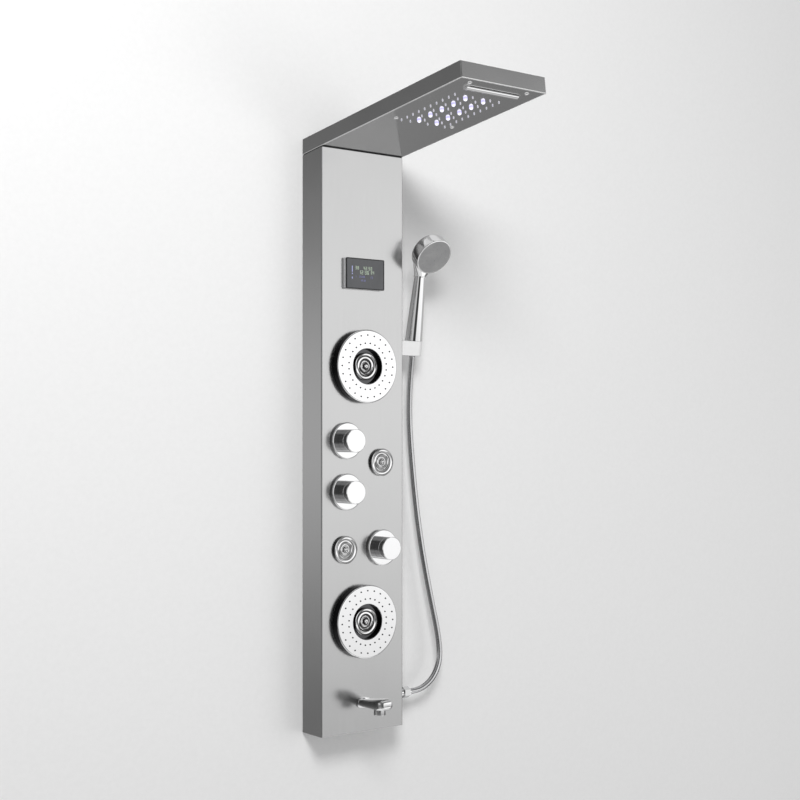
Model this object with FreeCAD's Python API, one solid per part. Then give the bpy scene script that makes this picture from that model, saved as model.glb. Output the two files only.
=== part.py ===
import FreeCAD, Part
import math
import os

# Shower panel column: a folded steel column that hangs on a wall, with a tilted rain head,
# body jets, three knobs, a spout and a hand shower.
# Millimetres. X runs across the panel, the wall is the plane Y = 0, and the front faces -Y.
# The origin is the centre of the four wall screws. Heights are given from the column's lower edge.

V = FreeCAD.Vector

# Column
column_width = 200.0
column_depth = 66.0
seam_height = 1146.0            # where the column meets the head, at the wall
sheet = 1.2
bend_radius = 3.0
back_flange = 14.0
top_flange = 14.0
tray_height = 9.0               # upturned edge of the bottom and underside trays
loose_fit = 0.3                 # gap round pieces that slip into place
overrun = 1.0                   # how far a cutting shape runs past the face it cuts
touch = 0.01                    # an edge this near a face lies on it
corner_bolt_radius = 2.5
corner_bolt_inset = 9.0
bolt_across = 3.2               # sizes of a bolt's head and nut, per radius of the bolt
bolt_head_height = 1.4
bolt_nut_height = 1.6
bolt_end = 1.0                  # past its nut

# Wall brackets
lower_bracket_height = 150.0
upper_bracket_drop = 96.0       # from the seam down to the upper bracket's middle
bracket_thickness = 2.0
bracket_strip = 40.0
bracket_hole_spacing = 120.0
bracket_hole_radius = 3.25
bracket_hook = 10.0

# Head
head_tilt = 6.75
head_length = 493.4             # along the slope
head_thickness = 30.0
seam_gap = 2.2
hem_height = 8.0                # the head's lower edge is folded back inside
hem_round = 0.95                # of the sheet's thickness

# Rain nozzles, lamps and waterfall, placed back along the slope from the head's front end
nozzle_end = 75.8
nozzle_pitch = 17.4
nozzle_rows = 10
outer_nozzle_x = 52.0
middle_nozzle_x = 31.0
inner_nozzle_x = 10.5
nozzle_radius = 1.5
nozzle_proud = 2.4
nozzle_taper = 0.75             # radius of its tip, per radius at its root
nozzle_fit = 0.15
mat_thickness = 1.5
mat_margin = 7.0
lamp_end = 84.0
lamp_pitch = 33.6
lamp_rows = 5
lamp_x = 21.0
lamp_radius = 3.8
lamp_proud = 5.5
rain_chamber_height = 16.0
chamber_wall = 2.0
underside_screw_x = 67.0
rear_screw_end = 228.9
front_screw_end = 16.9
underside_screw_radius = 2.4
underside_screw_end = 3.0       # past the rubber mat
slot_end = 27.4
slot_width = 17.0
slot_length = 122.0
waterfall_chamber_height = 14.0
lip_thickness = 1.4
board_thickness = 1.6
chip_size = 5.0
screw_ear = 14.0
lip_drop = 5.0                  # how far the waterfall lip bulges below the tray
lip_gap = 2.4                   # the slit in front of it

# Hydro generator in the rain pipe
generator_start = 112.0
generator_length = 50.0
generator_radius = 11.0
generator_wall = 2.0
generator_rebate = 0.5          # where the rain pipe seats
generator_ports = 3
generator_port_radius = 1.2
rotor_shaft_radius = 1.5
rotor_hub_radius = 3.5
rotor_tip_gap = 1.0
rotor_blades = 6
blade_thickness = 1.2
blade_inset = 2.0               # from the hub's ends

# Display
display_gap = 80.15             # over the upper ring jet
display_width = 93.0
display_tall = 61.0
display_proud = 8.5
display_corner = 2.4
display_frame = 1.8
glass_thickness = 2.2
glass_inset = 0.4               # behind the frame's face
module_depth = 20.0

# Large ring jets
lower_ring_height = 219.6
ring_radius = 73.0
ring_proud = 16.0
ring_edge_round = 3.0
ring_skin = 2.0
eye_radius = 35.5
eye_depth = 10.0
ring_nozzles = 24
outer_ring_radius = 62.0
inner_ring_radius = 46.0
ring_nozzle_taper = 0.8
ring_seal = 1.0
ring_shank_radius = 17.0
ring_housing_wall = 1.8
ring_slots = 3                  # each right across the housing
ring_slot_height = 4.0
ring_slot_width = 6.0

# Ball jets, alone and in the eye of each ring jet
small_jet_right_x = 44.0
small_jet_right_rise = 6.9      # over the middle of the two left knobs
small_jet_left_x = -45.3
small_jet_left_drop = 0.5       # under the mixer knob
socket_radius = 27.5
socket_height = 5.0
socket_step = 1.2
socket_rim = 2.0
socket_coves = 3                # round steps down to the ball
cove_dip = 0.35
cove_middle = 0.3               # where a cove is deepest, as a share of its width
socket_hub_radius = 13.5
socket_hub_length = 16.0
ball_radius = 10.0
ball_centre = -3.0              # from the plane that the socket sits on
ball_nose = 8.0
ball_step = 1.5
ball_ring_radius = 5.5
ball_tip_radius = 3.5
ball_bore = 2.6
jet_tail_length = 24.0
jet_tail_wall = 2.0             # round the pipe that it takes
locknut_height = 7.0
locknut_rim = 6.0

# Knobs and valves
knob_left_x = -42.5
mixer_knob_x = 45.0
lower_ring_gap = 35.4           # lower ring jet to mixer escutcheon
mixer_gap = 41.1                # mixer escutcheon to middle escutcheon
knob_gap = 28.4                 # middle escutcheon to upper escutcheon
upper_ring_gap = 38.1           # upper escutcheon to upper ring jet
knob_radius = 23.0
knob_front = 36.0
knob_edge = 1.2
knob_wall = 2.5
knob_cap = 5.0                  # solid front of the knob
escutcheon_radius = 36.3
escutcheon_height = 7.5
escutcheon_round = 2.6
escutcheon_skin = 1.5
valve_neck_radius = 12.0
valve_neck_length = 4.5
cartridge_nut_rim = 4.0
spindle_radius = 4.0
spindle_fit = 0.05
spindle_depth = 22.0
valve_radius = 17.0
valve_axis_depth = 36.0         # behind the front face
manifold_radius = 16.0
manifold_reach = 22.0           # past the outer two stations
mixer_half_length = 35.0
inlet_spacing = 40.0
inlet_radius = 10.4             # G 1/2 male thread
inlet_bore = 7.5
inlet_shoulder = 54.0           # behind the front face, where the thread starts
inlet_shoulder_radius = 13.0
inlet_end = 62.0                # behind the front face

# Pipes
pipe_radius = 6.0
pipe_bore = 4.8
pipe_bend = 15.0
pipe_seat = 5.0                 # length of a pipe socket
port_length = 5.0
outlet_tail = 14.0
pipe_depth = 44.0               # behind the front face
mixed_pipe_depth = 28.0
pipe_straight = 1.0             # between a port and the next bend
pipe_room = 2.0                 # round a pipe where it enters the head

# Spout
spout_height = 58.0
spout_width = 27.0
spout_reach = 82.0
spout_root_up = 7.5             # top and bottom of the bar at its root, from the axis
spout_root_down = 6.5
spout_nose_down = -3.0          # bottom and top of the nose, from the axis
spout_nose_up = 16.5
spout_nose_round = 7.5
spout_side_round = 4.0
spout_collar_width = 31.0
spout_collar_tall = 20.0
spout_collar_round = 5.0
spout_collar_height = 3.0
spout_tail_radius = 9.0
outlet_place = 55.0             # from the front face to the aerator's axis
outlet_radius = 10.5
outlet_bottom = 41.5
aerator_radius = 9.0
aerator_height = 5.0
aerator_wall = 1.5
aerator_proud = 0.8
aerator_holes = 6
aerator_hole_radius = 1.0

# Hand shower holder and hand shower
holder_x = 147.8
holder_depth = 28.0             # behind the front face
holder_height = 770.0
holder_lean = 9.0
holder_radius = 17.75
holder_length = 30.0
holder_round = 1.5
holder_bore = 11.0
holder_stud_radius = 4.0
holder_stud_length = 12.0
holder_nut_height = 6.0
handle_foot_radius = 17.6
handle_middle_radius = 14.7
handle_neck_radius = 11.0
handle_length = 130.5
handle_collar = 1.4             # ring proud of the neck
handle_collar_height = 3.5
handset_tail_radius = 7.0
handset_tail_length = 12.0
handset_tail_bore = 4.0
face_radius = 37.0
face_thickness = 3.0
spray_head_radius = 40.0
spray_side = 15.0               # depth of the spray head's round side
spray_dome = 15.0               # depth of the dome behind it
spray_dome_radius = 36.5
dome_middle_out = 0.62          # a point on the dome's curve, as shares of its radius and depth
dome_middle_deep = 0.72
spray_rim = 1.5
spray_head_forward = 48.2       # from the handle's top to the face's centre
spray_head_rise = 37.0
spray_face_tilt = 38.0
neck_end = 0.55                 # where the neck ends in the spray head, as a share of its depth
neck_bend = 32.25               # degrees from the handle's top to the neck's end
spray_ring_count = 3
spray_tip_count = 6             # in the first ring, and that many more in each next
spray_first_ring = 8.0
spray_ring_pitch = 10.0
spray_tip_radius = 1.0
spray_tip_proud = 0.6

# Hose
hose_radius = 6.0
hose_bore = 4.0
hose_outlet_height = 59.0
hose_outlet_y = -33.0
hose_outlet_radius = 8.3        # G 3/8 male thread
hose_outlet_foot_radius = 13.0
hose_outlet_foot = 3.0
hose_outlet_end = 124.0
hose_nut_length = 14.0
hose_nut_radius = 10.5
hose_collar = 4.0
hose_collar_radius = 8.0
handset_nut_show = 1.0          # of the conical nut, under the cup
handset_nut_low_radius = 8.0
handset_nut_high_radius = 10.6
# route points between the two nuts: X, Y and height
hose_route = (
    (161.0, -33.0, 59.0),
    (179.4, -33.0, 63.9),
    (195.9, -33.0, 73.4),
    (209.3, -32.8, 86.9),
    (218.8, -32.5, 103.4),
    (223.7, -32.0, 122.0),
    (223.7, -31.4, 146.0),
    (218.6, -30.4, 181.0),
    (207.0, -28.6, 232.0),
    (194.4, -26.2, 291.0),
    (182.0, -23.4, 358.0),
    (171.0, -21.2, 431.0),
    (162.4, -20.2, 506.0),
    (154.6, -20.4, 580.0),
    (149.2, -22.8, 642.0),
)
hose_last_run = 44.0            # straight down the handle's axis, below its nut
hose_round = 0.45               # how much of a corner's shorter run its arc takes

upper_bracket_height = seam_height - upper_bracket_drop
origin_height = (lower_bracket_height + upper_bracket_height) / 2
front = -column_depth
seam_z = seam_height - origin_height
half_width = column_width / 2
underside_top = seam_gap / 2 + sheet
cos_tilt = math.cos(math.radians(head_tilt))
tip_of_round = 1 - math.sqrt(0.5)       # how far a round's middle lies from its two sides, per radius

# along the slope from the wall
nozzle_start = head_length - nozzle_end - (nozzle_rows - 1) * nozzle_pitch
lamp_start = head_length - lamp_end - (lamp_rows - 1) * lamp_pitch
slot_start = head_length - slot_end - slot_width
underside_screw_places = (head_length - rear_screw_end, head_length - front_screw_end)

# heights on the front, from the lower ring jet up
mixer_knob_height = lower_ring_height + ring_radius + lower_ring_gap + escutcheon_radius
middle_knob_height = mixer_knob_height + mixer_gap + 2 * escutcheon_radius
upper_knob_height = middle_knob_height + knob_gap + 2 * escutcheon_radius
upper_ring_height = upper_knob_height + escutcheon_radius + upper_ring_gap + ring_radius
display_height = upper_ring_height + ring_radius + display_gap + display_tall / 2
small_jet_right_height = (upper_knob_height + middle_knob_height) / 2 + small_jet_right_rise
small_jet_left_height = mixer_knob_height - small_jet_left_drop
side_pipe_x = knob_left_x - manifold_radius - port_length - pipe_bend - pipe_straight


# ---------------------------------------------------------------- building blocks


def box(x, y, z):
    """A block between two limits on each axis."""
    return Part.makeBox(x[1] - x[0], y[1] - y[0], z[1] - z[0], V(x[0], y[0], z[0]))


def rod(radius, low, high, x=0.0, y=0.0):
    """A cylinder along Z."""
    return Part.makeCylinder(radius, high - low, V(x, y, low))


def ring(outer, inner, low, high):
    return rod(outer, low, high).cut(rod(inner, low - overrun, high + overrun))


def face_of(steps, place):
    """A closed flat face. A step is a point, or a pair: a point on an arc and the arc's end."""
    edges = []
    here = steps[0]
    for step in list(steps[1:]) + [steps[0]]:
        if isinstance(step[0], tuple):
            through, end = step
            edges.append(Part.Arc(place(here), place(through), place(end)).toShape())
        else:
            end = step
            edges.append(Part.LineSegment(place(here), place(end)).toShape())
        here = end
    return Part.Face(Part.Wire(edges))


def turned(*steps):
    """A turned piece about Z, from an outline of (radius, height) steps."""
    outline = face_of(steps, lambda point: V(point[0], 0, point[1]))
    return outline.revolve(V(0, 0, 0), V(0, 0, 1), 360)


def pushed_across(low_x, high_x, *steps):
    """A profile of (Y, Z) steps pushed along X."""
    outline = face_of(steps, lambda point: V(low_x, point[0], point[1]))
    return outline.extrude(V(high_x - low_x, 0, 0))


def hexagon(across, low, high):
    corner = across / math.sqrt(3)
    corners = [V(corner * math.cos(math.radians(60 * k)), corner * math.sin(math.radians(60 * k)), low)
               for k in range(6)]
    return Part.Face(Part.makePolygon(corners + corners[:1])).extrude(V(0, 0, high - low))


def rounded_slab(width, tall, corner, low, high):
    """A plate centred on Z with round corners."""
    slab = box((-width / 2, width / 2), (-tall / 2, tall / 2), (low, high))
    upright = [edge for edge in slab.Edges if abs(edge.tangentAt(0).z) > 0.9]
    return slab.makeFillet(corner, upright)


def joined(shapes):
    """One solid from shapes that overlap."""
    whole = shapes[0].multiFuse(list(shapes[1:]))
    return whole.removeSplitter()


def cut_all(shape, tools):
    return shape.cut(Part.makeCompound(list(tools)))


def on_front(shape, x, height):
    """Local Z points out of the column's front."""
    placed = shape.copy()
    placed.rotate(V(0, 0, 0), V(1, 0, 0), 90)
    placed.translate(V(x, front, height - origin_height))
    return placed


def on_right(shape, y, height):
    """Local Z points out of the column's right side."""
    placed = shape.copy()
    placed.rotate(V(0, 0, 0), V(0, 1, 0), 90)
    placed.translate(V(half_width, y, height - origin_height))
    return placed


def on_head(shape):
    """Local -Y runs forward along the slope from the wall, and local Z stands on the seam."""
    placed = shape.copy()
    placed.rotate(V(0, 0, 0), V(1, 0, 0), -head_tilt)
    placed.translate(V(0, 0, seam_z))
    return placed


def slope(x, along, up):
    """A point on the head: across, along the slope from the wall, and above the seam."""
    return on_head(Part.Vertex(x, -along, up)).Point


def inside(x, depth, height):
    """A point behind the column's front."""
    return V(x, front + depth, height - origin_height)


def save(name, *solids):
    shape = solids[0] if len(solids) == 1 else Part.makeCompound(list(solids))
    shape.exportStep("parts/" + name + ".step")


def bent_line(points, radius_for):
    """Straight runs joined by tangent arcs."""
    edges = []
    here = points[0]
    for before, corner, after in zip(points, points[1:], points[2:]):
        back = (before - corner).normalize()
        on = (after - corner).normalize()
        half_turn = (math.pi - back.getAngle(on)) / 2
        radius = radius_for(min(before.distanceToPoint(corner), after.distanceToPoint(corner)), half_turn)
        reach = radius * math.tan(half_turn)
        inward = (back + on).normalize()
        middle = corner + inward * (radius / math.cos(half_turn) - radius)
        start = corner + back * reach
        end = corner + on * reach
        edges.append(Part.LineSegment(here, start).toShape())
        edges.append(Part.Arc(start, middle, end).toShape())
        here = end
    edges.append(Part.LineSegment(here, points[-1]).toShape())
    return Part.Wire(edges)


def tube_along(wire, radius, bore):
    start = wire.OrderedVertexes[0].Point
    ahead = wire.OrderedEdges[0].tangentAt(wire.OrderedEdges[0].FirstParameter)
    skins = []
    for size in (radius, bore):
        rim = Part.Wire(Part.makeCircle(size, start, ahead))
        skins.append(wire.makePipeShell([rim], True, False))
    return skins[0].cut(skins[1])


def pipe(*points):
    """A water pipe with the same bend at every corner."""
    return tube_along(bent_line(points, lambda run, half_turn: pipe_bend), pipe_radius, pipe_bore)


def straight_pipe(start, end):
    return tube_along(Part.Wire(Part.LineSegment(start, end).toShape()), pipe_radius, pipe_bore)


# ---------------------------------------------------------------- column and brackets


def column_hollow(grow):
    """The column's outline, grown or shrunk, without its front holes."""
    width = half_width + grow
    block = box((-width, width), (front - grow, min(grow, 0)), (-origin_height, seam_z + column_depth))
    corners = [edge for edge in block.Edges
               if abs(edge.tangentAt(0).z) > 0.9 and edge.CenterOfMass.y < front / 2]
    return block.makeFillet(max(bend_radius + grow, sheet / 2), corners)


def above_slope(up):
    """Everything over a plane parallel to the seam."""
    size = 2 * head_length
    return on_head(box((-size, size), (-size, size), (up, size)))


def corner_bolt_places():
    inset_x = half_width - corner_bolt_inset
    for x in (-inset_x, inset_x):
        for along in (corner_bolt_inset + sheet, (column_depth - sheet) / cos_tilt - corner_bolt_inset):
            yield x, along


def corner_bolt_holes(low, high):
    radius = corner_bolt_radius + loose_fit
    return [on_head(rod(radius, low, high, x, -along)) for x, along in corner_bolt_places()]


def top_flange_frame():
    """The column's top edges turned inwards, which carry the head."""
    reach = column_depth / cos_tilt
    plate = box((-half_width, half_width), (-reach, 0), (-seam_gap / 2 - sheet, -seam_gap / 2))
    opening = box((top_flange - half_width, half_width - top_flange),
                  (top_flange - reach, -top_flange), (-seam_gap - sheet, 0))
    return on_head(plate.cut(opening)).common(column_hollow(-sheet / 2))


def knob_places():
    yield "upper", knob_left_x, upper_knob_height
    yield "middle", knob_left_x, middle_knob_height
    yield "lower", mixer_knob_x, mixer_knob_height


def front_holes():
    for x, height, radius in (
        (0, upper_ring_height, ring_shank_radius + loose_fit),
        (0, lower_ring_height, ring_shank_radius + loose_fit),
        (small_jet_right_x, small_jet_right_height, socket_hub_radius + loose_fit),
        (small_jet_left_x, small_jet_left_height, socket_hub_radius + loose_fit),
        (0, spout_height, spout_tail_radius + loose_fit),
        *[(x, height, valve_neck_radius + loose_fit) for name, x, height in knob_places()],
    ):
        yield on_front(rod(radius, -2 * sheet, sheet), x, height)
    window = rounded_slab(display_width - 2 * display_frame, display_tall - 2 * display_frame,
                          display_corner / 2, -2 * sheet, sheet)
    yield on_front(window, 0, display_height)


def side_holes():
    for radius, y, height in ((hose_outlet_radius, hose_outlet_y, hose_outlet_height),
                              (holder_stud_radius, front + holder_depth, holder_height)):
        yield on_right(rod(radius + loose_fit, -2 * sheet, sheet), y, height)


def column_shell():
    walls = column_hollow(0).cut(column_hollow(-sheet))
    back = box((back_flange - half_width, half_width - back_flange), (-2 * sheet, sheet),
               (-origin_height - overrun, seam_z + column_depth))
    walls = walls.cut(back).cut(above_slope(-seam_gap / 2))
    shell = joined([walls, top_flange_frame()])
    return cut_all(shell, list(front_holes()) + list(side_holes()) + corner_bolt_holes(-2 * seam_gap, 0))


def column_base():
    """The tray that closes the column's lower end."""
    low = -origin_height
    size = 2 * half_width
    above_floor = box((-size, size), (-size, size), (low + sheet, 0))
    low_end = box((-size, size), (-size, size), (low, low + tray_height))
    hollow = column_hollow(-2 * sheet - loose_fit).common(above_floor)
    return column_hollow(-sheet - loose_fit).common(low_end).cut(hollow)


def wall_bracket(height):
    """A steel strip on the wall whose joggled ends hook over the column's back flanges."""
    z = (height - bracket_strip / 2 - origin_height, height + bracket_strip / 2 - origin_height)
    plate_end = half_width - back_flange - 2 * loose_fit
    hook_end = plate_end + bracket_hook
    strip = box((-plate_end, plate_end), (-bracket_thickness, 0), z)
    hook_start = plate_end - bracket_thickness
    hooks = [box(x, (-sheet - bracket_thickness, -sheet), z)
             for x in ((-hook_end, -hook_start), (hook_start, hook_end))]
    holes = [Part.makeCylinder(bracket_hole_radius, 3 * bracket_thickness,
                               V(x, -2 * bracket_thickness, height - origin_height), V(0, 1, 0))
             for x in (-bracket_hole_spacing / 2, bracket_hole_spacing / 2)]
    return cut_all(joined([strip] + hooks), holes)


# ---------------------------------------------------------------- head


def head_outline(inset, low, high):
    """The head's block before its tilt, shrunk all round, between two heights above the seam."""
    block = box((inset - half_width, half_width - inset), (inset - head_length, head_thickness), (low, high))
    corners = [edge for edge in block.Edges
               if abs(edge.tangentAt(0).z) > 0.9 and edge.CenterOfMass.y < -head_length / 2]
    return block.makeFillet(max(bend_radius - inset, sheet / 2), corners)


def before_wall(shape, gap):
    """The tilted shape, cut off square at the wall or a gap in front of it."""
    size = 2 * head_length
    return on_head(shape).common(box((-size, size), (-size, -gap), (-size, size)))


def head_block(inset, low, high):
    return before_wall(head_outline(inset, low, high), inset)


def tray_inset():
    """From the head's outside to the tray inside its hem."""
    return 2 * sheet + loose_fit


def nozzle_places():
    for row in range(nozzle_rows):
        along = nozzle_start + row * nozzle_pitch
        yield -outer_nozzle_x, along
        yield outer_nozzle_x, along
        if row % 2 == 0:
            yield -middle_nozzle_x, along
            yield inner_nozzle_x, along
        else:
            yield -inner_nozzle_x, along
            yield middle_nozzle_x, along


def lamp_places():
    for row in range(lamp_rows):
        for x in (-lamp_x, lamp_x):
            yield x, lamp_start + row * lamp_pitch


def underside_screw_spots():
    for x in (-underside_screw_x, underside_screw_x):
        for along in underside_screw_places:
            yield x, along


def head_shell():
    """A folded cover whose lower edge is hemmed: folded back inside, with a round rim."""
    low = seam_gap / 2
    skin = head_outline(0, low, low + head_thickness).cut(
        head_outline(sheet, low - overrun, low + head_thickness - sheet))
    hem = head_outline(sheet, low, low + hem_height).cut(
        head_outline(2 * sheet, low - overrun, low + hem_height + overrun))
    shell = joined([skin, hem])
    rim = [edge for edge in shell.Edges
           if edge.BoundBox.ZMax < low + touch and edge.BoundBox.YMin < head_thickness - overrun]
    return before_wall(shell.makeFillet(hem_round * sheet, rim), 0)


def head_underside():
    """A tray with the holes for nozzles, lamps, waterfall, pipes, bolts and screws."""
    low = seam_gap / 2
    edge = tray_inset()
    tray = head_block(edge, low, low + tray_height).cut(
        head_block(edge + sheet, low + sheet, low + tray_height + overrun))
    top = low + 2 * sheet
    holes = []
    for radius, places in ((nozzle_radius + nozzle_fit, nozzle_places()),
                           (lamp_radius + nozzle_fit, lamp_places()),
                           (underside_screw_radius + nozzle_fit, underside_screw_spots()),
                           (corner_bolt_radius + loose_fit, corner_bolt_places())):
        holes += [rod(radius, 0, top, x, -along) for x, along in places]
    holes.append(box((-slot_length / 2, slot_length / 2), (-slot_start - slot_width, -slot_start), (0, top)))
    behind = column_depth - pipe_depth
    around = pipe_radius + pipe_room
    depth = (-behind - 2 * pipe_radius - pipe_room, around - behind)
    holes += [box((x - around, x + around), depth, (0, top)) for x in (knob_left_x, side_pipe_x)]
    return cut_all(tray, [on_head(hole) for hole in holes])


def head_gasket():
    """A rubber frame between the column's top flange and the head, set in a little."""
    edge = sheet + loose_fit
    frame = head_block(edge, -seam_gap / 2, seam_gap / 2)
    ahead = box((-half_width, half_width), (-2 * head_length, front + edge),
                (-head_length, head_length + seam_z))
    beyond = above_slope(-seam_gap).common(ahead)
    opening = on_head(box((top_flange - half_width, half_width - top_flange),
                          (top_flange - column_depth / cos_tilt, -top_flange), (-seam_gap, seam_gap)))
    return frame.cut(beyond).cut(opening).cut(Part.makeCompound(corner_bolt_holes(-seam_gap, seam_gap)))


def corner_bolt(x, along):
    """A bolt up through flange, gasket and tray, with its nut."""
    across = bolt_across * corner_bolt_radius
    under = -seam_gap / 2 - sheet
    nut_top = underside_top + bolt_nut_height * corner_bolt_radius
    bolt = joined([
        hexagon(across, under - bolt_head_height * corner_bolt_radius, under),
        rod(corner_bolt_radius, under - overrun, nut_top + bolt_end),
    ])
    nut = hexagon(across, underside_top, nut_top)
    nut = nut.cut(rod(corner_bolt_radius, underside_top - overrun, nut_top + overrun))
    for shape in (bolt, nut):
        shape.translate(V(x, -along, 0))
        yield on_head(shape)


def underside_screw(x, along):
    low = seam_gap / 2
    rim = 2 * underside_screw_radius
    dome = rim / 2
    head = turned((0, low), (rim, low), ((0.7 * rim, low - 0.8 * dome), (0, low - dome)))
    socket = hexagon(underside_screw_radius, low - rim, low - 0.4 * dome)
    shank = rod(underside_screw_radius, low - 0.2 * dome, underside_top + mat_thickness + underside_screw_end)
    screw = joined([head, shank]).cut(socket)
    screw.translate(V(x, -along, 0))
    return on_head(screw)


def mat_span():
    last = nozzle_start + (nozzle_rows - 1) * nozzle_pitch
    half = outer_nozzle_x + mat_margin
    return (-half, half), (-last - mat_margin, mat_margin - nozzle_start)


def rain_nozzles():
    """A rubber mat on the tray with a nozzle through every hole."""
    low = seam_gap / 2
    x, y = mat_span()
    mat = box(x, y, (underside_top, underside_top + mat_thickness))
    mat = cut_all(mat, [rod(lamp_radius + nozzle_fit, 0, 2 * underside_top + mat_thickness, px, -along)
                        for px, along in lamp_places()])
    tips = []
    for px, along in nozzle_places():
        tips.append(Part.makeCone(nozzle_taper * nozzle_radius, nozzle_radius, nozzle_proud,
                                  V(px, -along, low - nozzle_proud)))
        tips.append(rod(nozzle_radius, low, underside_top + mat_thickness / 2, px, -along))
    return on_head(joined([mat] + tips))


def rain_chamber():
    """The moulded box over the mat that spreads the rain water, with ears for two of the screws."""
    x, y = mat_span()
    low = underside_top + mat_thickness
    high = low + rain_chamber_height
    shell = box(x, y, (low, high)).cut(
        box((x[0] + chamber_wall, x[1] - chamber_wall), (y[0] + chamber_wall, y[1] - chamber_wall),
            (low - overrun, high - chamber_wall)))
    ear = underside_screw_x + screw_ear / 2
    middle = -underside_screw_places[0]
    ears = box((-ear, ear), (middle - screw_ear / 2, middle + screw_ear / 2),
               (underside_top, low + chamber_wall))
    ears = ears.cut(box(x, y, (0, high - chamber_wall)))
    inlet = Part.makeCylinder(pipe_radius, chamber_wall + pipe_seat,
                              V(knob_left_x, y[1] - chamber_wall, rain_pipe_up()), V(0, 1, 0))
    body = joined([shell, ears, inlet])
    holes = [rod(lamp_radius + loose_fit, low, high + overrun, px, -along) for px, along in lamp_places()]
    holes += [rod(underside_screw_radius, 0, high, px, -along) for px, along in underside_screw_spots()]
    holes.append(Part.makeCylinder(pipe_bore, 3 * pipe_seat, V(knob_left_x, y[1] - pipe_seat, rain_pipe_up()),
                                   V(0, 1, 0)))
    return on_head(cut_all(body, holes))


def waterfall_lip():
    """A bright curled blade that bulges below the slot and leaves a slit in front, with two end cheeks."""
    low = seam_gap / 2
    rear = -slot_start - loose_fit
    reach = slot_width - 2 * loose_fit
    free_edge = rear - reach + lip_gap
    middle = (rear + free_edge) / 2
    half = slot_length / 2 - loose_fit
    outside = ((rear, underside_top + lip_thickness), (rear, low),
               ((middle, low - lip_drop), (free_edge, low - lip_thickness / 2)))
    blade = pushed_across(
        -half, half, *outside, (free_edge + lip_thickness, low),
        ((middle, low - lip_drop + lip_thickness), (rear - lip_thickness, low)),
        (rear - lip_thickness, underside_top + lip_thickness),
    )
    cheeks = [pushed_across(side, side + lip_thickness, *outside, (rear - reach, low - lip_thickness / 2),
                            (rear - reach, underside_top + lip_thickness))
              for side in (-half, half - lip_thickness)]
    return on_head(joined([blade] + cheeks))


def waterfall_pipe_up():
    """Height of the waterfall pipe's axis over the seam, in the middle of its chamber."""
    return underside_top + lip_thickness + waterfall_chamber_height / 2


def waterfall_chamber():
    """The box over the slot; its left end reaches out to the pipe that feeds it from behind."""
    high = underside_top + lip_thickness + waterfall_chamber_height
    x = (side_pipe_x - pipe_radius - chamber_wall, slot_length / 2 + 2 * chamber_wall)
    y = (-slot_start - slot_width - 2 * chamber_wall, 2 * chamber_wall - slot_start)
    shell = box(x, y, (underside_top, high))
    hollow = box((x[0] + chamber_wall, x[1] - chamber_wall), (y[0] + chamber_wall, y[1] - chamber_wall),
                 (0, high - chamber_wall))
    floor = box((x[0], -slot_length / 2 - chamber_wall), y, (underside_top, underside_top + chamber_wall))
    ear = underside_screw_x + screw_ear / 2
    ears = [box(span, (-underside_screw_places[1] - screw_ear / 2, y[0] + chamber_wall),
                (underside_top, underside_top + 2 * chamber_wall)) for span in ((-ear, 0), (0, ear))]
    inlet = Part.makeCylinder(pipe_radius, chamber_wall + pipe_seat,
                              V(side_pipe_x, y[1] - chamber_wall, waterfall_pipe_up()), V(0, 1, 0))
    body = joined([shell.cut(hollow), floor, inlet] + [ear_box.cut(hollow) for ear_box in ears])
    holes = [rod(underside_screw_radius, 0, high, px, -along) for px, along in underside_screw_spots()]
    holes.append(Part.makeCylinder(pipe_bore, 3 * pipe_seat,
                                   V(side_pipe_x, y[1] - pipe_seat, waterfall_pipe_up()), V(0, 1, 0)))
    return on_head(cut_all(body, holes))


def board_low():
    return underside_top + mat_thickness + rain_chamber_height + loose_fit


def led_lens(x, along):
    """A clear light pipe from the board down through the rain chamber, with a bullet end."""
    end = seam_gap / 2 - lamp_proud
    around = lamp_radius * math.sqrt(0.5)
    lens = turned((0, end), ((around, end + lamp_radius - around), (lamp_radius, end + lamp_radius)),
                  (lamp_radius, board_low()), (0, board_low()))
    lens.translate(V(x, -along, 0))
    return on_head(lens)


def led_board():
    x, y = mat_span()
    low = board_low()
    board = box((x[0] + mat_margin, x[1] - mat_margin), (y[0] + mat_margin, y[1] - mat_margin),
                (low, low + board_thickness))
    half = chip_size / 2
    chips = [box((px - half, px + half), (-along - half, half - along),
                 (low + board_thickness / 2, low + 2 * board_thickness))
             for px, along in lamp_places()]
    return on_head(joined([board] + chips))


def rain_pipe_up():
    """Height of the rain pipe's axis over the seam, where the generator just clears the tray."""
    return underside_top + generator_radius + loose_fit


def along_rain_pipe(shape):
    """Local Z runs forward along the slope from the generator's rear end, on the rain pipe's axis."""
    placed = shape.copy()
    placed.rotate(V(0, 0, 0), V(1, 0, 0), 90)
    placed.translate(V(knob_left_x, -generator_start, rain_pipe_up()))
    return on_head(placed)


def generator_housing():
    inner = generator_radius - generator_wall
    can = turned(
        (rotor_shaft_radius + spindle_fit, 0), (pipe_bore, 0), (pipe_bore, generator_rebate),
        (pipe_radius, generator_rebate),
        (pipe_radius, 0), (inner, 0), (generator_radius, generator_wall),
        (generator_radius, generator_length - generator_wall), (inner, generator_length),
        (rotor_shaft_radius + spindle_fit, generator_length),
        (rotor_shaft_radius + spindle_fit, generator_length - 2 * generator_wall),
        (inner, generator_length - 2 * generator_wall), (inner, 2 * generator_wall),
        (rotor_shaft_radius + spindle_fit, 2 * generator_wall),
    )
    ports = []
    for k in range(generator_ports):
        port = rod(generator_port_radius, -overrun, generator_length + overrun,
                   (rotor_shaft_radius + pipe_bore) / 2)
        port.rotate(V(0, 0, 0), V(0, 0, 1), 360 / generator_ports * (k + 0.5))
        ports.append(port)
    return along_rain_pipe(cut_all(can, ports))


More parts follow.
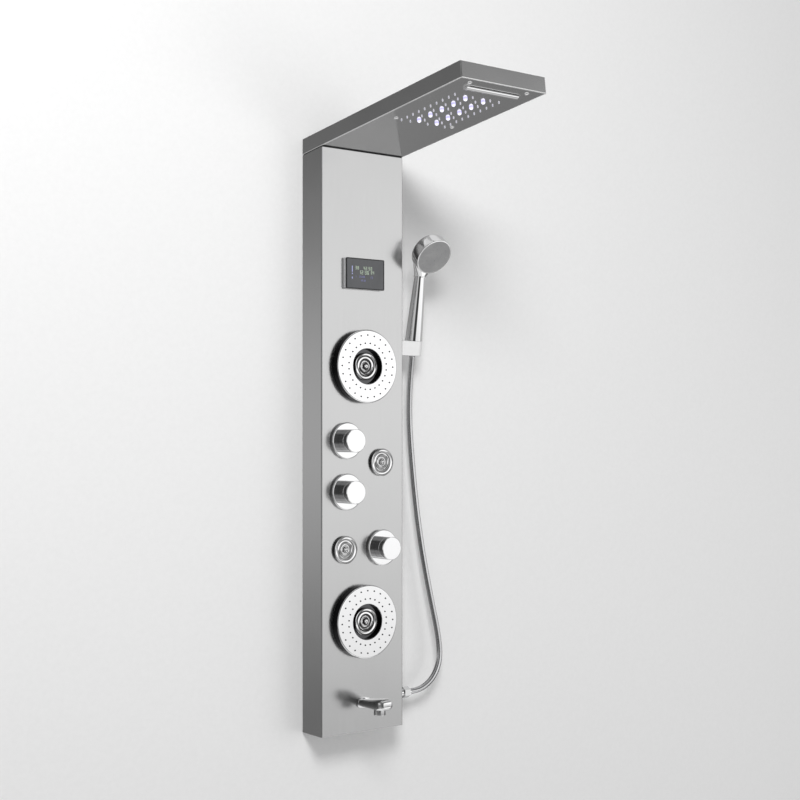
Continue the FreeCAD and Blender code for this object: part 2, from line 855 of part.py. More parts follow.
def generator_rotor():
    """A shaft and hub with straight blades, free inside the housing."""
    inner = generator_radius - generator_wall
    low = 2 * generator_wall + rotor_tip_gap
    high = generator_length - low
    shaft = rod(rotor_shaft_radius, generator_wall, generator_length - generator_wall)
    pieces = [shaft, rod(rotor_hub_radius, low, high)]
    for k in range(rotor_blades):
        blade = box((0, inner - rotor_tip_gap), (-blade_thickness / 2, blade_thickness / 2),
                    (low + blade_inset, high - blade_inset))
        blade.rotate(V(0, 0, 0), V(0, 0, 1), 360 / rotor_blades * k)
        pieces.append(blade)
    return along_rain_pipe(joined(pieces))


# ---------------------------------------------------------------- display


def display_pieces():
    width = display_width - 2 * display_frame
    tall = display_tall - 2 * display_frame
    bezel = rounded_slab(display_width, display_tall, display_corner, 0, display_proud)
    bezel = bezel.cut(rounded_slab(width, tall, display_corner / 2, -overrun, display_proud + overrun))
    glass_top = display_proud - glass_inset
    glass = rounded_slab(width - 2 * nozzle_fit, tall - 2 * nozzle_fit, display_corner / 2,
                         glass_top - glass_thickness, glass_top)
    module = rounded_slab(width - 2 * loose_fit, tall - 2 * loose_fit, display_corner / 2,
                          -module_depth, glass_top - glass_thickness)
    yield "display_bezel", on_front(bezel, 0, display_height)
    yield "display_glass", on_front(glass, 0, display_height)
    yield "display_module", on_front(module, 0, display_height)


# ---------------------------------------------------------------- jets


def ring_nozzle_places():
    for radius, start in ((outer_ring_radius, 0.0), (inner_ring_radius, 0.5)):
        for k in range(ring_nozzles):
            turn = 2 * math.pi * (k + start) / ring_nozzles
            yield radius * math.cos(turn), radius * math.sin(turn)


def eye_floor():
    return ring_proud - eye_depth


def mat_top():
    return ring_proud - ring_skin


def ring_faceplate():
    """A turned cap with two rings of holes and a sunk eye for the ball jet."""
    top = ring_proud
    round_off = ring_edge_round * tip_of_round
    eye_round = ring_skin / 2
    eye_cut = eye_round * tip_of_round
    wall = eye_radius + ring_skin
    hole = socket_hub_radius + nozzle_fit
    cap = turned(
        (hole, eye_floor() - ring_skin), (wall, eye_floor() - ring_skin), (wall, top - ring_skin),
        (ring_radius - ring_skin, top - ring_skin), (ring_radius - ring_skin, ring_seal),
        (ring_radius, ring_seal), (ring_radius, top - ring_edge_round),
        ((ring_radius - round_off, top - round_off), (ring_radius - ring_edge_round, top)),
        (eye_radius + eye_round, top),
        ((eye_radius + eye_cut, top - eye_cut), (eye_radius, top - eye_round)),
        (eye_radius, eye_floor()), (hole, eye_floor()),
    )
    return cut_all(cap, [rod(nozzle_radius + nozzle_fit, top - 2 * ring_skin, top + overrun, x, y)
                         for x, y in ring_nozzle_places()])


def ring_nozzle_mat():
    """Rubber ring behind the face with a tip in every hole."""
    top = mat_top()
    mat = ring(ring_radius - ring_skin - loose_fit, eye_radius + ring_skin + loose_fit,
               top - mat_thickness, top)
    length = ring_skin + nozzle_proud / 2 + mat_thickness / 2
    tips = [Part.makeCone(nozzle_radius, ring_nozzle_taper * nozzle_radius, length,
                          V(x, y, top - mat_thickness / 2))
            for x, y in ring_nozzle_places()]
    return joined([mat] + tips)


def ring_housing():
    """The cup behind the face: floor, outer wall, slotted inner wall and a threaded shank."""
    outer = ring_radius - ring_skin - loose_fit
    wall_top = mat_top() - mat_thickness
    floor_top = ring_seal + ring_housing_wall
    inner = eye_radius + ring_skin + loose_fit
    cup = turned(
        (ring_shank_radius, -jet_tail_length), (ring_shank_radius, ring_seal), (outer, ring_seal),
        (outer, wall_top),
        (outer - ring_housing_wall, wall_top), (outer - ring_housing_wall, floor_top),
        (inner + ring_housing_wall, floor_top), (inner + ring_housing_wall, wall_top), (inner, wall_top),
        (inner, floor_top), (socket_hub_radius + nozzle_fit, floor_top),
        (socket_hub_radius + nozzle_fit, eye_floor() - socket_hub_length - loose_fit),
        (pipe_bore, eye_floor() - socket_hub_length - loose_fit), (pipe_bore, -jet_tail_length),
    )
    slots = []
    for k in range(ring_slots):
        slot = box((ring_housing_wall - outer, outer - ring_housing_wall),
                   (-ring_slot_width / 2, ring_slot_width / 2), (floor_top, floor_top + ring_slot_height))
        slot.rotate(V(0, 0, 0), V(0, 0, 1), 180 / ring_slots * k)
        slots.append(slot)
    return cut_all(cup, slots)


def seat_lip():
    """Radius of the socket's mouth, where it holds the ball."""
    return math.sqrt((ball_radius + loose_fit) ** 2 - (socket_step - ball_centre) ** 2)


def jet_socket():
    """A hub and a ring that steps down in round coves to the ball's seat."""
    seat = ball_radius + loose_fit
    half_rise = math.asin((socket_step - ball_centre) / seat) / 2
    rim = socket_radius - socket_rim
    width = (rim - seat_lip() - socket_step) / socket_coves
    drop = (socket_height - socket_step) / socket_coves
    edge = socket_rim / 4
    coves = [((rim - (k + cove_middle) * width, socket_height - (k + 1) * drop - cove_dip),
              (rim - (k + 1) * width, socket_height - (k + 1) * drop)) for k in range(socket_coves)]
    return turned(
        (socket_hub_radius, -socket_hub_length), (socket_hub_radius, 0), (socket_radius, 0),
        (socket_radius, socket_height - edge),
        ((socket_radius - edge * tip_of_round, socket_height - edge * tip_of_round),
         (socket_radius - edge, socket_height)),
        (rim, socket_height), *coves, (seat_lip(), socket_step),
        ((seat * math.cos(half_rise), ball_centre + seat * math.sin(half_rise)), (seat, ball_centre)),
        (seat, ball_centre - ball_radius), (pipe_bore, ball_centre - ball_radius),
        (pipe_bore, -socket_hub_length),
    )


def jet_ball():
    """The ball about its own centre: flats front and back, a stepped nose and a bore."""
    size = 2 * ball_radius
    ball = Part.makeSphere(ball_radius)
    ball = ball.cut(box((-size, size), (-size, size), (ball_nose - ball_step, size)))
    ball = ball.cut(box((-size, size), (-size, size), (-size, -ball_nose)))
    nose = joined([ball, rod(ball_ring_radius, 0, ball_nose), rod(ball_tip_radius, 0, ball_nose + ball_step)])
    return nose.cut(rod(ball_bore, -size, ball_nose - ball_step)).cut(rod(ball_bore / 2, 0, size))


def seal_ring(outer, inner):
    return ring(outer, inner, 0, ring_seal)


def locknut(shank):
    """A hexagon nut screwed on a shank behind the front sheet."""
    across = 2 * (shank + locknut_rim)
    bore = rod(shank, -sheet - locknut_height - overrun, 0)
    return hexagon(across, -sheet - locknut_height, -sheet).cut(bore)


def jets():
    seals = []
    nuts = []
    for name, height in (("upper_ring", upper_ring_height), ("lower_ring", lower_ring_height)):
        yield name + "_faceplate", on_front(ring_faceplate(), 0, height)
        yield name + "_nozzles", on_front(ring_nozzle_mat(), 0, height)
        yield name + "_housing", on_front(ring_housing(), 0, height)
        socket = jet_socket()
        socket.translate(V(0, 0, eye_floor()))
        ball = jet_ball()
        ball.translate(V(0, 0, eye_floor() + ball_centre))
        yield name + "_socket", on_front(socket, 0, height)
        yield name + "_ball", on_front(ball, 0, height)
        seals.append(on_front(seal_ring(ring_radius - 2 * ring_skin, ring_shank_radius), 0, height))
        nuts.append(on_front(locknut(ring_shank_radius), 0, height))
    for name, x, height in (("right_jet", small_jet_right_x, small_jet_right_height),
                            ("left_jet", small_jet_left_x, small_jet_left_height)):
        socket = jet_socket()
        tail = ring(pipe_radius + jet_tail_wall, pipe_bore, -jet_tail_length - ring_seal,
                    -socket_hub_length / 2)
        socket = joined([socket, tail.cut(rod(ball_radius + loose_fit, ball_centre - ball_radius, 0))])
        socket.translate(V(0, 0, ring_seal))
        ball = jet_ball()
        ball.translate(V(0, 0, ring_seal + ball_centre))
        yield name + "_socket", on_front(socket, x, height)
        yield name + "_ball", on_front(ball, x, height)
        seals.append(on_front(seal_ring(socket_radius - ring_skin, socket_hub_radius), x, height))
        nuts.append(on_front(locknut(socket_hub_radius), x, height))
    yield "jet_seals", Part.makeCompound(seals)
    yield "jet_locknuts", Part.makeCompound(nuts)


# ---------------------------------------------------------------- knobs and valves


def escutcheon():
    """A flat plate with a round edge under each knob."""
    top = escutcheon_height
    flat = escutcheon_radius - escutcheon_round
    cut = escutcheon_round * tip_of_round
    hole = valve_neck_radius + loose_fit
    return turned(
        (escutcheon_radius, 0), (escutcheon_radius, top - escutcheon_round),
        ((escutcheon_radius - cut, top - cut), (flat, top)), (hole, top), (hole, top - escutcheon_skin),
        (flat, top - escutcheon_skin), (flat, 0),
    )


def knob():
    """A round knob with a hollow back and a hub on the spindle."""
    low = escutcheon_height + loose_fit
    hub = spindle_radius + knob_wall
    cap = knob_front - knob_cap
    return turned(
        (spindle_radius, low + loose_fit), (hub, low + loose_fit), (hub, cap), (knob_radius - knob_wall, cap),
        (knob_radius - knob_wall, low), (knob_radius, low), (knob_radius, knob_front - knob_edge),
        (knob_radius - knob_edge, knob_front), (0, knob_front), (0, cap), (spindle_radius, cap),
    )


def spindle():
    return turned(
        (0, -spindle_depth), (spindle_radius, -spindle_depth), (spindle_radius, knob_front - knob_cap),
        (0, knob_front - knob_cap),
    )


def valve_station():
    """A cartridge body: neck through the sheet, and barrel back to the valve's axis."""
    return joined([
        rod(valve_radius, -valve_axis_depth, -sheet - loose_fit),
        rod(valve_neck_radius, -valve_axis_depth, valve_neck_length),
    ])


def spindle_bore():
    return rod(spindle_radius + spindle_fit, -spindle_depth - loose_fit, valve_neck_length + overrun)


def cartridge_nut():
    """Clamps the sheet from the front, under the escutcheon."""
    across = 2 * (valve_neck_radius + cartridge_nut_rim)
    bore = rod(valve_neck_radius, -overrun, valve_neck_length + overrun)
    return hexagon(across, 0, valve_neck_length).cut(bore)


def diverter_body():
    """Upright manifold with two stations and the ports for every outlet."""
    low = middle_knob_height - manifold_reach
    high = upper_knob_height + manifold_reach
    axis = inside(knob_left_x, valve_axis_depth, low)
    body = [Part.makeCylinder(manifold_radius, high - low, axis)]
    stations = (upper_knob_height, middle_knob_height)
    body += [on_front(valve_station(), knob_left_x, height) for height in stations]
    bores = [on_front(spindle_bore(), knob_left_x, height) for height in stations]
    side = knob_left_x - manifold_radius - port_length
    ports = [
        (inside(knob_left_x, mixed_pipe_depth, low - port_length), V(0, 0, 1), 2 * port_length),
        (inside(knob_left_x, pipe_depth, high - port_length), V(0, 0, 1), 2 * port_length),
        (inside(side, pipe_depth, upper_knob_height), V(1, 0, 0), manifold_radius + port_length),
        (inside(side, pipe_depth, middle_knob_height), V(1, 0, 0), manifold_radius + port_length),
        (inside(knob_left_x, pipe_depth, middle_knob_height), V(1, 0, 0), manifold_radius + port_length),
    ]
    for start, way, length in ports:
        body.append(Part.makeCylinder(pipe_radius, length, start, way))
        bores.append(Part.makeCylinder(pipe_bore, length + 2 * overrun, start - way * overrun, way))
    return cut_all(joined(body), bores)


def mixer_body():
    """Barrel across the column with hot and cold inlets to the wall and outlets up and down."""
    left = mixer_knob_x - mixer_half_length
    barrel = Part.makeCylinder(valve_radius, 2 * mixer_half_length,
                               inside(left, valve_axis_depth, mixer_knob_height), V(1, 0, 0))
    body = [barrel, on_front(valve_station(), mixer_knob_x, mixer_knob_height)]
    bores = [on_front(spindle_bore(), mixer_knob_x, mixer_knob_height)]
    for x in (mixer_knob_x - inlet_spacing / 2, mixer_knob_x + inlet_spacing / 2):
        start = inside(x, valve_axis_depth, mixer_knob_height)
        length = inlet_end - valve_axis_depth
        shoulder = inlet_shoulder - valve_axis_depth
        body.append(Part.makeCylinder(inlet_shoulder_radius, shoulder, start, V(0, 1, 0)))
        body.append(Part.makeCylinder(inlet_radius, length, start, V(0, 1, 0)))
        bores.append(Part.makeCylinder(inlet_bore, length + overrun, start, V(0, 1, 0)))
    reach = valve_radius + port_length
    for depth, way in ((mixed_pipe_depth, 1), (hose_outlet_y - front, -1)):
        start = inside(mixer_knob_x, depth, mixer_knob_height)
        body.append(Part.makeCylinder(pipe_radius, reach, start, V(0, 0, way)))
        bores.append(Part.makeCylinder(pipe_bore, reach + overrun, start, V(0, 0, way)))
    return cut_all(joined(body), bores)


# ---------------------------------------------------------------- pipes


def riser_along(up):
    """How far along the slope a riser in the column reaches a height over the seam."""
    return (column_depth - pipe_depth) / cos_tilt + up * math.tan(math.radians(head_tilt))


def rain_riser():
    """From the diverter's top up into the head, forward to the generator, then on to the rain chamber."""
    start = inside(knob_left_x, pipe_depth, upper_knob_height + manifold_reach + port_length)
    corner = slope(knob_left_x, riser_along(rain_pipe_up()), rain_pipe_up())
    end = slope(knob_left_x, generator_start, rain_pipe_up())
    chamber_rear = -mat_span()[1][1]
    return pipe(start, corner, end), straight_pipe(
        slope(knob_left_x, generator_start + generator_length, rain_pipe_up()),
        slope(knob_left_x, chamber_rear - pipe_seat, rain_pipe_up()))


def waterfall_riser():
    """From the diverter's side up into the head and along its left edge to the waterfall chamber."""
    end_along = slot_start - 2 * chamber_wall - pipe_seat
    return pipe(
        inside(knob_left_x - manifold_radius - port_length, pipe_depth, upper_knob_height),
        inside(side_pipe_x, pipe_depth, upper_knob_height),
        slope(side_pipe_x, riser_along(waterfall_pipe_up()), waterfall_pipe_up()),
        slope(side_pipe_x, end_along, waterfall_pipe_up()),
    )


def jet_pipes():
    """A header between the tails of the two ring jets, its branches to the ball jets and the feed."""
    top = inside(0, pipe_depth, upper_ring_height)
    bottom = inside(0, pipe_depth, lower_ring_height)
    yield pipe(inside(0, jet_tail_length, upper_ring_height), top, bottom,
               inside(0, jet_tail_length, lower_ring_height))
    for x, height in ((small_jet_right_x, small_jet_right_height), (small_jet_left_x, small_jet_left_height)):
        beside = math.copysign(pipe_radius, x)
        yield pipe(inside(beside, pipe_depth, height), inside(x, pipe_depth, height),
                   inside(x, jet_tail_length, height))
    yield straight_pipe(inside(knob_left_x + manifold_radius + port_length, pipe_depth, middle_knob_height),
                        inside(-pipe_radius, pipe_depth, middle_knob_height))


def outlet_pipes():
    """Mixed water to the diverter, water to the spout, and water to the hand shower's outlet."""
    reach = valve_radius + port_length
    turn_height = (mixer_knob_height + reach + middle_knob_height - manifold_reach - port_length) / 2
    yield pipe(
        inside(mixer_knob_x, mixed_pipe_depth, mixer_knob_height + reach),
        inside(mixer_knob_x, mixed_pipe_depth, turn_height),
        inside(knob_left_x, mixed_pipe_depth, turn_height),
        inside(knob_left_x, mixed_pipe_depth, middle_knob_height - manifold_reach - port_length),
    )
    yield pipe(
        inside(knob_left_x - manifold_radius - port_length, pipe_depth, middle_knob_height),
        inside(side_pipe_x, pipe_depth, middle_knob_height),
        inside(side_pipe_x, pipe_depth, spout_height),
        inside(0, pipe_depth, spout_height),
        inside(0, jet_tail_length, spout_height),
    )
    depth = hose_outlet_y - front
    yield pipe(
        inside(mixer_knob_x, depth, mixer_knob_height - reach),
        inside(mixer_knob_x, depth, hose_outlet_height),
        inside(half_width - outlet_tail, depth, hose_outlet_height),
    )


# ---------------------------------------------------------------- spout


def spout_body():
    """A spout that swells to a raised round nose, with a collar, a tail through the sheet and a boss."""
    nose = front - spout_reach
    bar = pushed_across(-spout_width / 2, spout_width / 2,
                        (front, -spout_root_down), (nose, spout_nose_down), (nose, spout_nose_up),
                        (front, spout_root_up))
    across = [edge for edge in bar.Edges
              if edge.BoundBox.YMax < nose + touch and edge.Length > spout_width - touch]
    bar = bar.makeFillet(spout_nose_round, across)
    sides = [edge for edge in bar.Edges
             if abs(edge.CenterOfMass.x) > spout_width / 2 - touch and edge.CenterOfMass.y < front - overrun]
    bar = bar.makeFillet(spout_side_round, sides)
    bar.translate(V(0, 0, spout_height - origin_height))
    collar = rounded_slab(spout_collar_width, spout_collar_tall, spout_collar_round, 0, spout_collar_height)
    tail = rod(spout_tail_radius, -jet_tail_length, spout_collar_height)
    low = outlet_bottom - origin_height
    rise = spout_height - outlet_bottom
    boss = Part.makeCylinder(outlet_radius, rise, V(0, front - outlet_place, low))
    body = joined([bar, on_front(collar, 0, spout_height), on_front(tail, 0, spout_height), boss])
    bore = on_front(rod(pipe_bore, -jet_tail_length - overrun, outlet_place), 0, spout_height)
    drop = Part.makeCylinder(pipe_bore, rise, V(0, front - outlet_place, low))
    seat = Part.makeCylinder(aerator_radius + nozzle_fit, aerator_height, V(0, front - outlet_place, low))
    return cut_all(body, [bore, drop, seat])


def spout_aerator():
    """A ring insert with a mesh disc, pushed up into the boss."""
    mesh_radius = aerator_radius - aerator_wall
    insert = turned(
        (mesh_radius, -aerator_proud), (aerator_radius, -aerator_proud),
        (aerator_radius, aerator_height - loose_fit), (0, aerator_height - loose_fit),
        (0, aerator_height / 2), (mesh_radius, aerator_height / 2),
    )
    holes = []
    for turn in (2 * math.pi * k / aerator_holes for k in range(aerator_holes)):
        holes.append(rod(aerator_hole_radius, 0, aerator_height + overrun,
                         aerator_radius / 2 * math.cos(turn), aerator_radius / 2 * math.sin(turn)))
    insert = cut_all(insert, holes)
    insert.translate(V(0, front - outlet_place, outlet_bottom - origin_height))
    return insert


# ---------------------------------------------------------------- hand shower, holder and hose


def on_holder(shape):
    """Local Z runs up the leaning axis that the cup and the handle share; zero is the cup's middle."""
    placed = shape.copy()
    placed.rotate(V(0, 0, 0), V(1, 0, 0), holder_lean)
    placed.translate(inside(holder_x, holder_depth, holder_height))
    return placed


def holder():
    """A block from the column's right side with a round end and a leaning bore, screwed on from inside."""
    half = holder_length / 2
    arm = holder_x - half_width
    plan = face_of(
        ((-arm, -holder_radius), (0, -holder_radius), ((holder_radius, 0), (0, holder_radius)),
         (-arm, holder_radius)),
        lambda point: V(point[0], point[1], -half))
    block = plan.extrude(V(0, 0, holder_length))
    rims = [edge for edge in block.Edges
            if abs(edge.CenterOfMass.z) > half - touch and edge.CenterOfMass.x > touch - arm]
    block = block.makeFillet(holder_round, rims).cut(rod(holder_bore, -holder_length, holder_length))
    stud = rod(holder_stud_radius, -holder_stud_length, overrun)
    nut = hexagon(4 * holder_stud_radius, -sheet - holder_nut_height, -sheet)
    return joined([on_holder(block)] + [on_right(shape, front + holder_depth, holder_height)
                                        for shape in (stud, nut)])


def handle_top():
    """Height of the handle's top along the axis that it shares with the cup."""
    return holder_length / 2 + loose_fit + handle_length


def spray_head_place(shape):
    """Local Z points out of the spray face, whose centre is the origin."""
    top = on_holder(Part.Vertex(0, 0, handle_top())).Point
    placed = shape.copy()
    placed.rotate(V(0, 0, 0), V(1, 0, 0), 90 + spray_face_tilt)
    placed.translate(top + V(0, -spray_head_forward, spray_head_rise))
    return placed


def handset_body():
    """Handle, ringed neck and spray head in one, with a threaded tail for the hose's nut."""
    low = holder_length / 2 + loose_fit
    top = handle_top()
    ringed = handle_neck_radius + handle_collar
    tail = low - handset_tail_length
    handle = on_holder(turned(
        (0, tail), (handset_tail_radius, tail), (handset_tail_radius, low),
        (handle_foot_radius, low),
        ((handle_middle_radius, low + handle_length / 2), (handle_neck_radius, top)),
        (ringed, top), (ringed, top + handle_collar_height), (0, top + handle_collar_height),
    ))
    rim = spray_head_radius
    deep = spray_side + spray_dome
    head = spray_head_place(turned(
        (0, -deep),
        ((dome_middle_out * spray_dome_radius, -spray_side - dome_middle_deep * spray_dome),
         (spray_dome_radius, -spray_side)),
        (rim - spray_rim, -spray_side), ((rim, -spray_side / 2), (rim - spray_rim, 0)),
        (face_radius + nozzle_fit, 0), (face_radius + nozzle_fit, -face_thickness), (0, -face_thickness),
    ))
    start = on_holder(Part.Vertex(0, 0, top)).Point
    target = spray_head_place(Part.Vertex(0, 0, -neck_end * deep)).Point
    rings = []
    for share in (0.0, 0.5, 1.0):
        lean = math.radians(holder_lean + share * neck_bend)
        way = V(0, -math.sin(lean), math.cos(lean))
        middle = start + (target - start) * share
        rings.append(Part.Wire(Part.makeCircle(handle_neck_radius + share * spray_rim, middle, way)))
    neck = Part.makeLoft(rings, True, False)
    seat = spray_head_place(rod(face_radius + nozzle_fit, -face_thickness, deep))
    body = joined([handle, neck.cut(seat), head])
    return body.cut(on_holder(rod(handset_tail_bore, tail - overrun, top)))


def handset_face():
    """The grey spray face, with raised rubber tips in rings."""
    disc = rod(face_radius, -face_thickness, 0)
    tips = []
    for k in range(spray_ring_count):
        radius = spray_first_ring + k * spray_ring_pitch
        count = spray_tip_count * (k + 1)
        for turn in (2 * math.pi * n / count for n in range(count)):
            tips.append(rod(spray_tip_radius, -face_thickness / 2, spray_tip_proud,
                            radius * math.cos(turn), radius * math.sin(turn)))
    return spray_head_place(joined([disc] + tips))


def hose_outlet():
    """A nipple through the right side with a round foot outside."""
    length = hose_outlet_end - half_width
    return on_right(turned(
        (pipe_bore, -outlet_tail), (hose_outlet_radius, -outlet_tail), (hose_outlet_radius, 0),
        (hose_outlet_foot_radius, 0), (hose_outlet_foot_radius, hose_outlet_foot),
        (hose_outlet_radius, hose_outlet_foot),
        (hose_outlet_radius, length), (pipe_bore, length),
    ), hose_outlet_y, hose_outlet_height)


def hose_outlet_nut():
    """A hexagon nut on the nipple with a round collar over the hose's end."""
    start = hose_outlet_end - half_width
    nut = hexagon(2 * hose_nut_radius, start, start + hose_nut_length)
    collar = rod(hose_collar_radius, start, start + hose_nut_length + hose_collar)
    bore = rod(hose_bore, start - overrun, start + hose_nut_length + hose_collar + overrun)
    nut = joined([nut, collar]).cut(bore)
    return on_right(nut, hose_outlet_y, hose_outlet_height)


def handset_nut_low():
    return -holder_length / 2 - handset_nut_show


def hose_handset_nut():
    """The conical nut on the hand shower's tail, inside the cup."""
    high = holder_length / 2
    tail = high - handset_tail_length
    thread = handset_tail_radius + spindle_fit
    return on_holder(turned(
        (hose_bore, handset_nut_low()), (handset_nut_low_radius, handset_nut_low()),
        (handset_nut_high_radius, high), (thread, high), (thread, tail), (hose_bore, tail),
    ))


def hose():
    """The free hose, from the outlet nut's collar round and up to the hand shower's nut."""
    start_x = hose_outlet_end + hose_nut_length + hose_collar
    start = V(start_x, hose_outlet_y, hose_outlet_height - origin_height)
    end_low = handset_nut_low() - loose_fit
    straight = [on_holder(Part.Vertex(0, 0, z)).Point for z in (end_low - hose_last_run, end_low)]
    points = [start] + [V(x, y, height - origin_height) for x, y, height in hose_route] + straight
    radii = []

    def free_radius(run, half_turn):
        radii.append(hose_round * run / math.tan(half_turn))
        return radii[-1]

    wire = bent_line(points, free_radius)
    tube = tube_along(wire, hose_radius, hose_bore)
    print("hose length", round(wire.Length, 1), "radii", [round(radius) for radius in radii])
    return tube


# ---------------------------------------------------------------- the whole panel


def main():
    os.makedirs("parts", exist_ok=True)
    save("column_shell", column_shell())
    save("column_base", column_base())
    save("wall_brackets", wall_bracket(lower_bracket_height), wall_bracket(upper_bracket_height))
    save("head_shell", head_shell())
    save("head_underside", head_underside())
    save("head_gasket", head_gasket())
    save("head_bolts", *[piece for x, along in corner_bolt_places() for piece in corner_bolt(x, along)])
    save("underside_screws", *[underside_screw(x, along) for x, along in underside_screw_spots()])
    save("rain_nozzles", rain_nozzles())
    save("rain_chamber", rain_chamber())
    save("waterfall_lip", waterfall_lip())
    save("waterfall_chamber", waterfall_chamber())
    save("led_lenses", *[led_lens(x, along) for x, along in lamp_places()])
    save("led_board", led_board())
    save("generator_housing", generator_housing())
    save("generator_rotor", generator_rotor())
    for name, shape in display_pieces():
        save(name, shape)
    for name, shape in jets():
        save(name, shape)
    for name, x, height in knob_places():
        save(name + "_escutcheon", on_front(escutcheon(), x, height))
        save(name + "_knob", on_front(knob(), x, height))
        save(name + "_spindle", on_front(spindle(), x, height))
    save("cartridge_nuts", *[on_front(cartridge_nut(), x, height) for name, x, height in knob_places()])
    save("diverter_body", diverter_body())
    save("mixer_body", mixer_body())
    save("rain_riser", *rain_riser())
    save("waterfall_riser", waterfall_riser())
    save("jet_pipes", *jet_pipes())
    save("outlet_pipes", *outlet_pipes())
    save("spout_body", spout_body())
    save("spout_aerator", spout_aerator())
    save("holder", holder())
    save("handset_body", handset_body())
    save("handset_face", handset_face())
    save("hose_outlet", hose_outlet())
    save("hose_outlet_nut", hose_outlet_nut())
    save("hose_handset_nut", hose_handset_nut())
    save("hose", hose())


if __name__ == "__main__":
    main()
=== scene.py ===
import math

import bmesh
import bpy
from mathutils import Matrix, Vector


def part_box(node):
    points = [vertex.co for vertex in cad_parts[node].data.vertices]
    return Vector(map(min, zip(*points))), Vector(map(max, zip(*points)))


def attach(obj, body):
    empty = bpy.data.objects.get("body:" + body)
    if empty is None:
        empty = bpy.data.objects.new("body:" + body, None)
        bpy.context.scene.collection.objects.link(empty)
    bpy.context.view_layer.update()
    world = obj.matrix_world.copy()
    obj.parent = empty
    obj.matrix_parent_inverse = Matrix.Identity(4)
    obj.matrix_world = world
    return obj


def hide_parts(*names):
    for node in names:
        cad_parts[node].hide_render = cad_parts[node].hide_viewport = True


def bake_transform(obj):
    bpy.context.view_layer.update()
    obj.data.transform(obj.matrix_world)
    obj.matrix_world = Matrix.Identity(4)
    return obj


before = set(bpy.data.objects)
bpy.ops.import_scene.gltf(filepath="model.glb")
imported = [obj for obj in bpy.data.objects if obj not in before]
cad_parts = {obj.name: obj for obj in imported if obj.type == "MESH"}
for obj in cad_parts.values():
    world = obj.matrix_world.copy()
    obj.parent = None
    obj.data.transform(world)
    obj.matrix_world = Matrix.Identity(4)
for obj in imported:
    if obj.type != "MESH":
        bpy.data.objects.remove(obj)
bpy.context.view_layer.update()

# Camera: level, round to the panel's left
CAMERA_PLACE = (-1.6727, -2.3639, 0.0)
CAMERA_TURN = math.radians(37.535)
CAMERA_LENS = 64.2
CAMERA_SHIFT = 0.0376
CAMERA_REACH = 60.0

# Hose: the points that its line is drawn to, from the outlet up to the hand shower
HOSE_RADIUS = 0.006
HOSE_ROUTE = (
    (0.142, -0.033, -0.541),
    (0.161, -0.033, -0.541),
    (0.1794, -0.033, -0.5361),
    (0.1959, -0.033, -0.5266),
    (0.2093, -0.0328, -0.5131),
    (0.2188, -0.0325, -0.4966),
    (0.2237, -0.032, -0.478),
    (0.2237, -0.0314, -0.454),
    (0.2186, -0.0304, -0.419),
    (0.207, -0.0286, -0.368),
    (0.1944, -0.0262, -0.309),
    (0.182, -0.0234, -0.242),
    (0.171, -0.0212, -0.169),
    (0.1624, -0.0202, -0.094),
    (0.1546, -0.0204, -0.02),
    (0.1492, -0.0228, 0.042),
    (0.1478, -0.02857, 0.11044),
    (0.1478, -0.03545, 0.1539),
)
HOSE_SIDES = 24
HOSE_STEPS = 24                 # curve points between two route points

# Head
HEAD_TILT = math.radians(6.75)
HEAD_NODES = ("head_shell", "head_underside")
UNDERSIDE_RISE = 0.5433         # the underside's face, along the head's own up direction
HEM_POLISH_AND_HIGHLIGHT = (0.0009, 0.0014)   # over the underside's face, where the hem's polish and its painted highlight start to fade and end
LENS_DROP = 0.0055
LENS_WHITE = 0.3                # share of the lens, from its tip, that glows white

# Jets
RING_JETS = ("upper_ring", "lower_ring")
JETS = RING_JETS + ("right_jet", "left_jet")
RING_WAVES = 46.0               # scale of the beaten rings
RING_DARK_REFLECTION = 0.06              # painted dark reflection: the plate's tone between the beaten rings
# painted dark reflection between the small jets' beaten rings
JET_DARK_REFLECTION = 0.4
PLATE_EDGE = 0.0012             # behind a faceplate's front, where its wall's tone starts
BEZEL_EDGE = 0.0022
EDGE_FADE = 1.6                 # the depth where the wall's tone is full, over the depth where it starts

# Display: which bars of seven each digit lights, and its shape as shares of its height
DIGIT_BARS = {"0": "abcdef", "1": "bc", "2": "abged", "3": "abgcd", "4": "fgbc", "5": "afgcd", "6": "afgedc",
              "7": "abc", "8": "abcdefg", "9": "abcdfg"}
DIGIT_SHAPE = 0.5
DIGIT_BAR = 0.14
COLON_RISES = (0.25, 0.65)
COLON_STEP = 2.5                # over a bar's thickness
MARK_THICKNESS = 0.0001

# The marks' places are metres from the glass's lower left corner
COLUMN_LEFT = 0.0115
COLUMN_RIGHT = 0.0133
COLUMN_BARS = ((0.031, 0.043), (0.0265, 0.029), (0.0175, 0.0215))       # each one's bottom and top
LARGE_NUMBERS = (                           # digits, left, bottom and height
    ("38", 0.020, 0.0365, 0.0065),
    ("42:50", 0.040, 0.0365, 0.0065),
    ("12:36", 0.029, 0.0275, 0.0075),
    ("04", 0.058, 0.029, 0.006),
)
SMALL_NUMBERS = (
    ("1", 0.020, 0.0205, 0.004),
    ("25:08", 0.030, 0.0205, 0.004),
    ("17", 0.056, 0.0195, 0.005),
    ("60:30", 0.034, 0.0135, 0.0035),
)

PLATE_TONE = (0.95, 0.95, 0.955)            # of polished plate
SIDES = 96                                  # of every turned piece

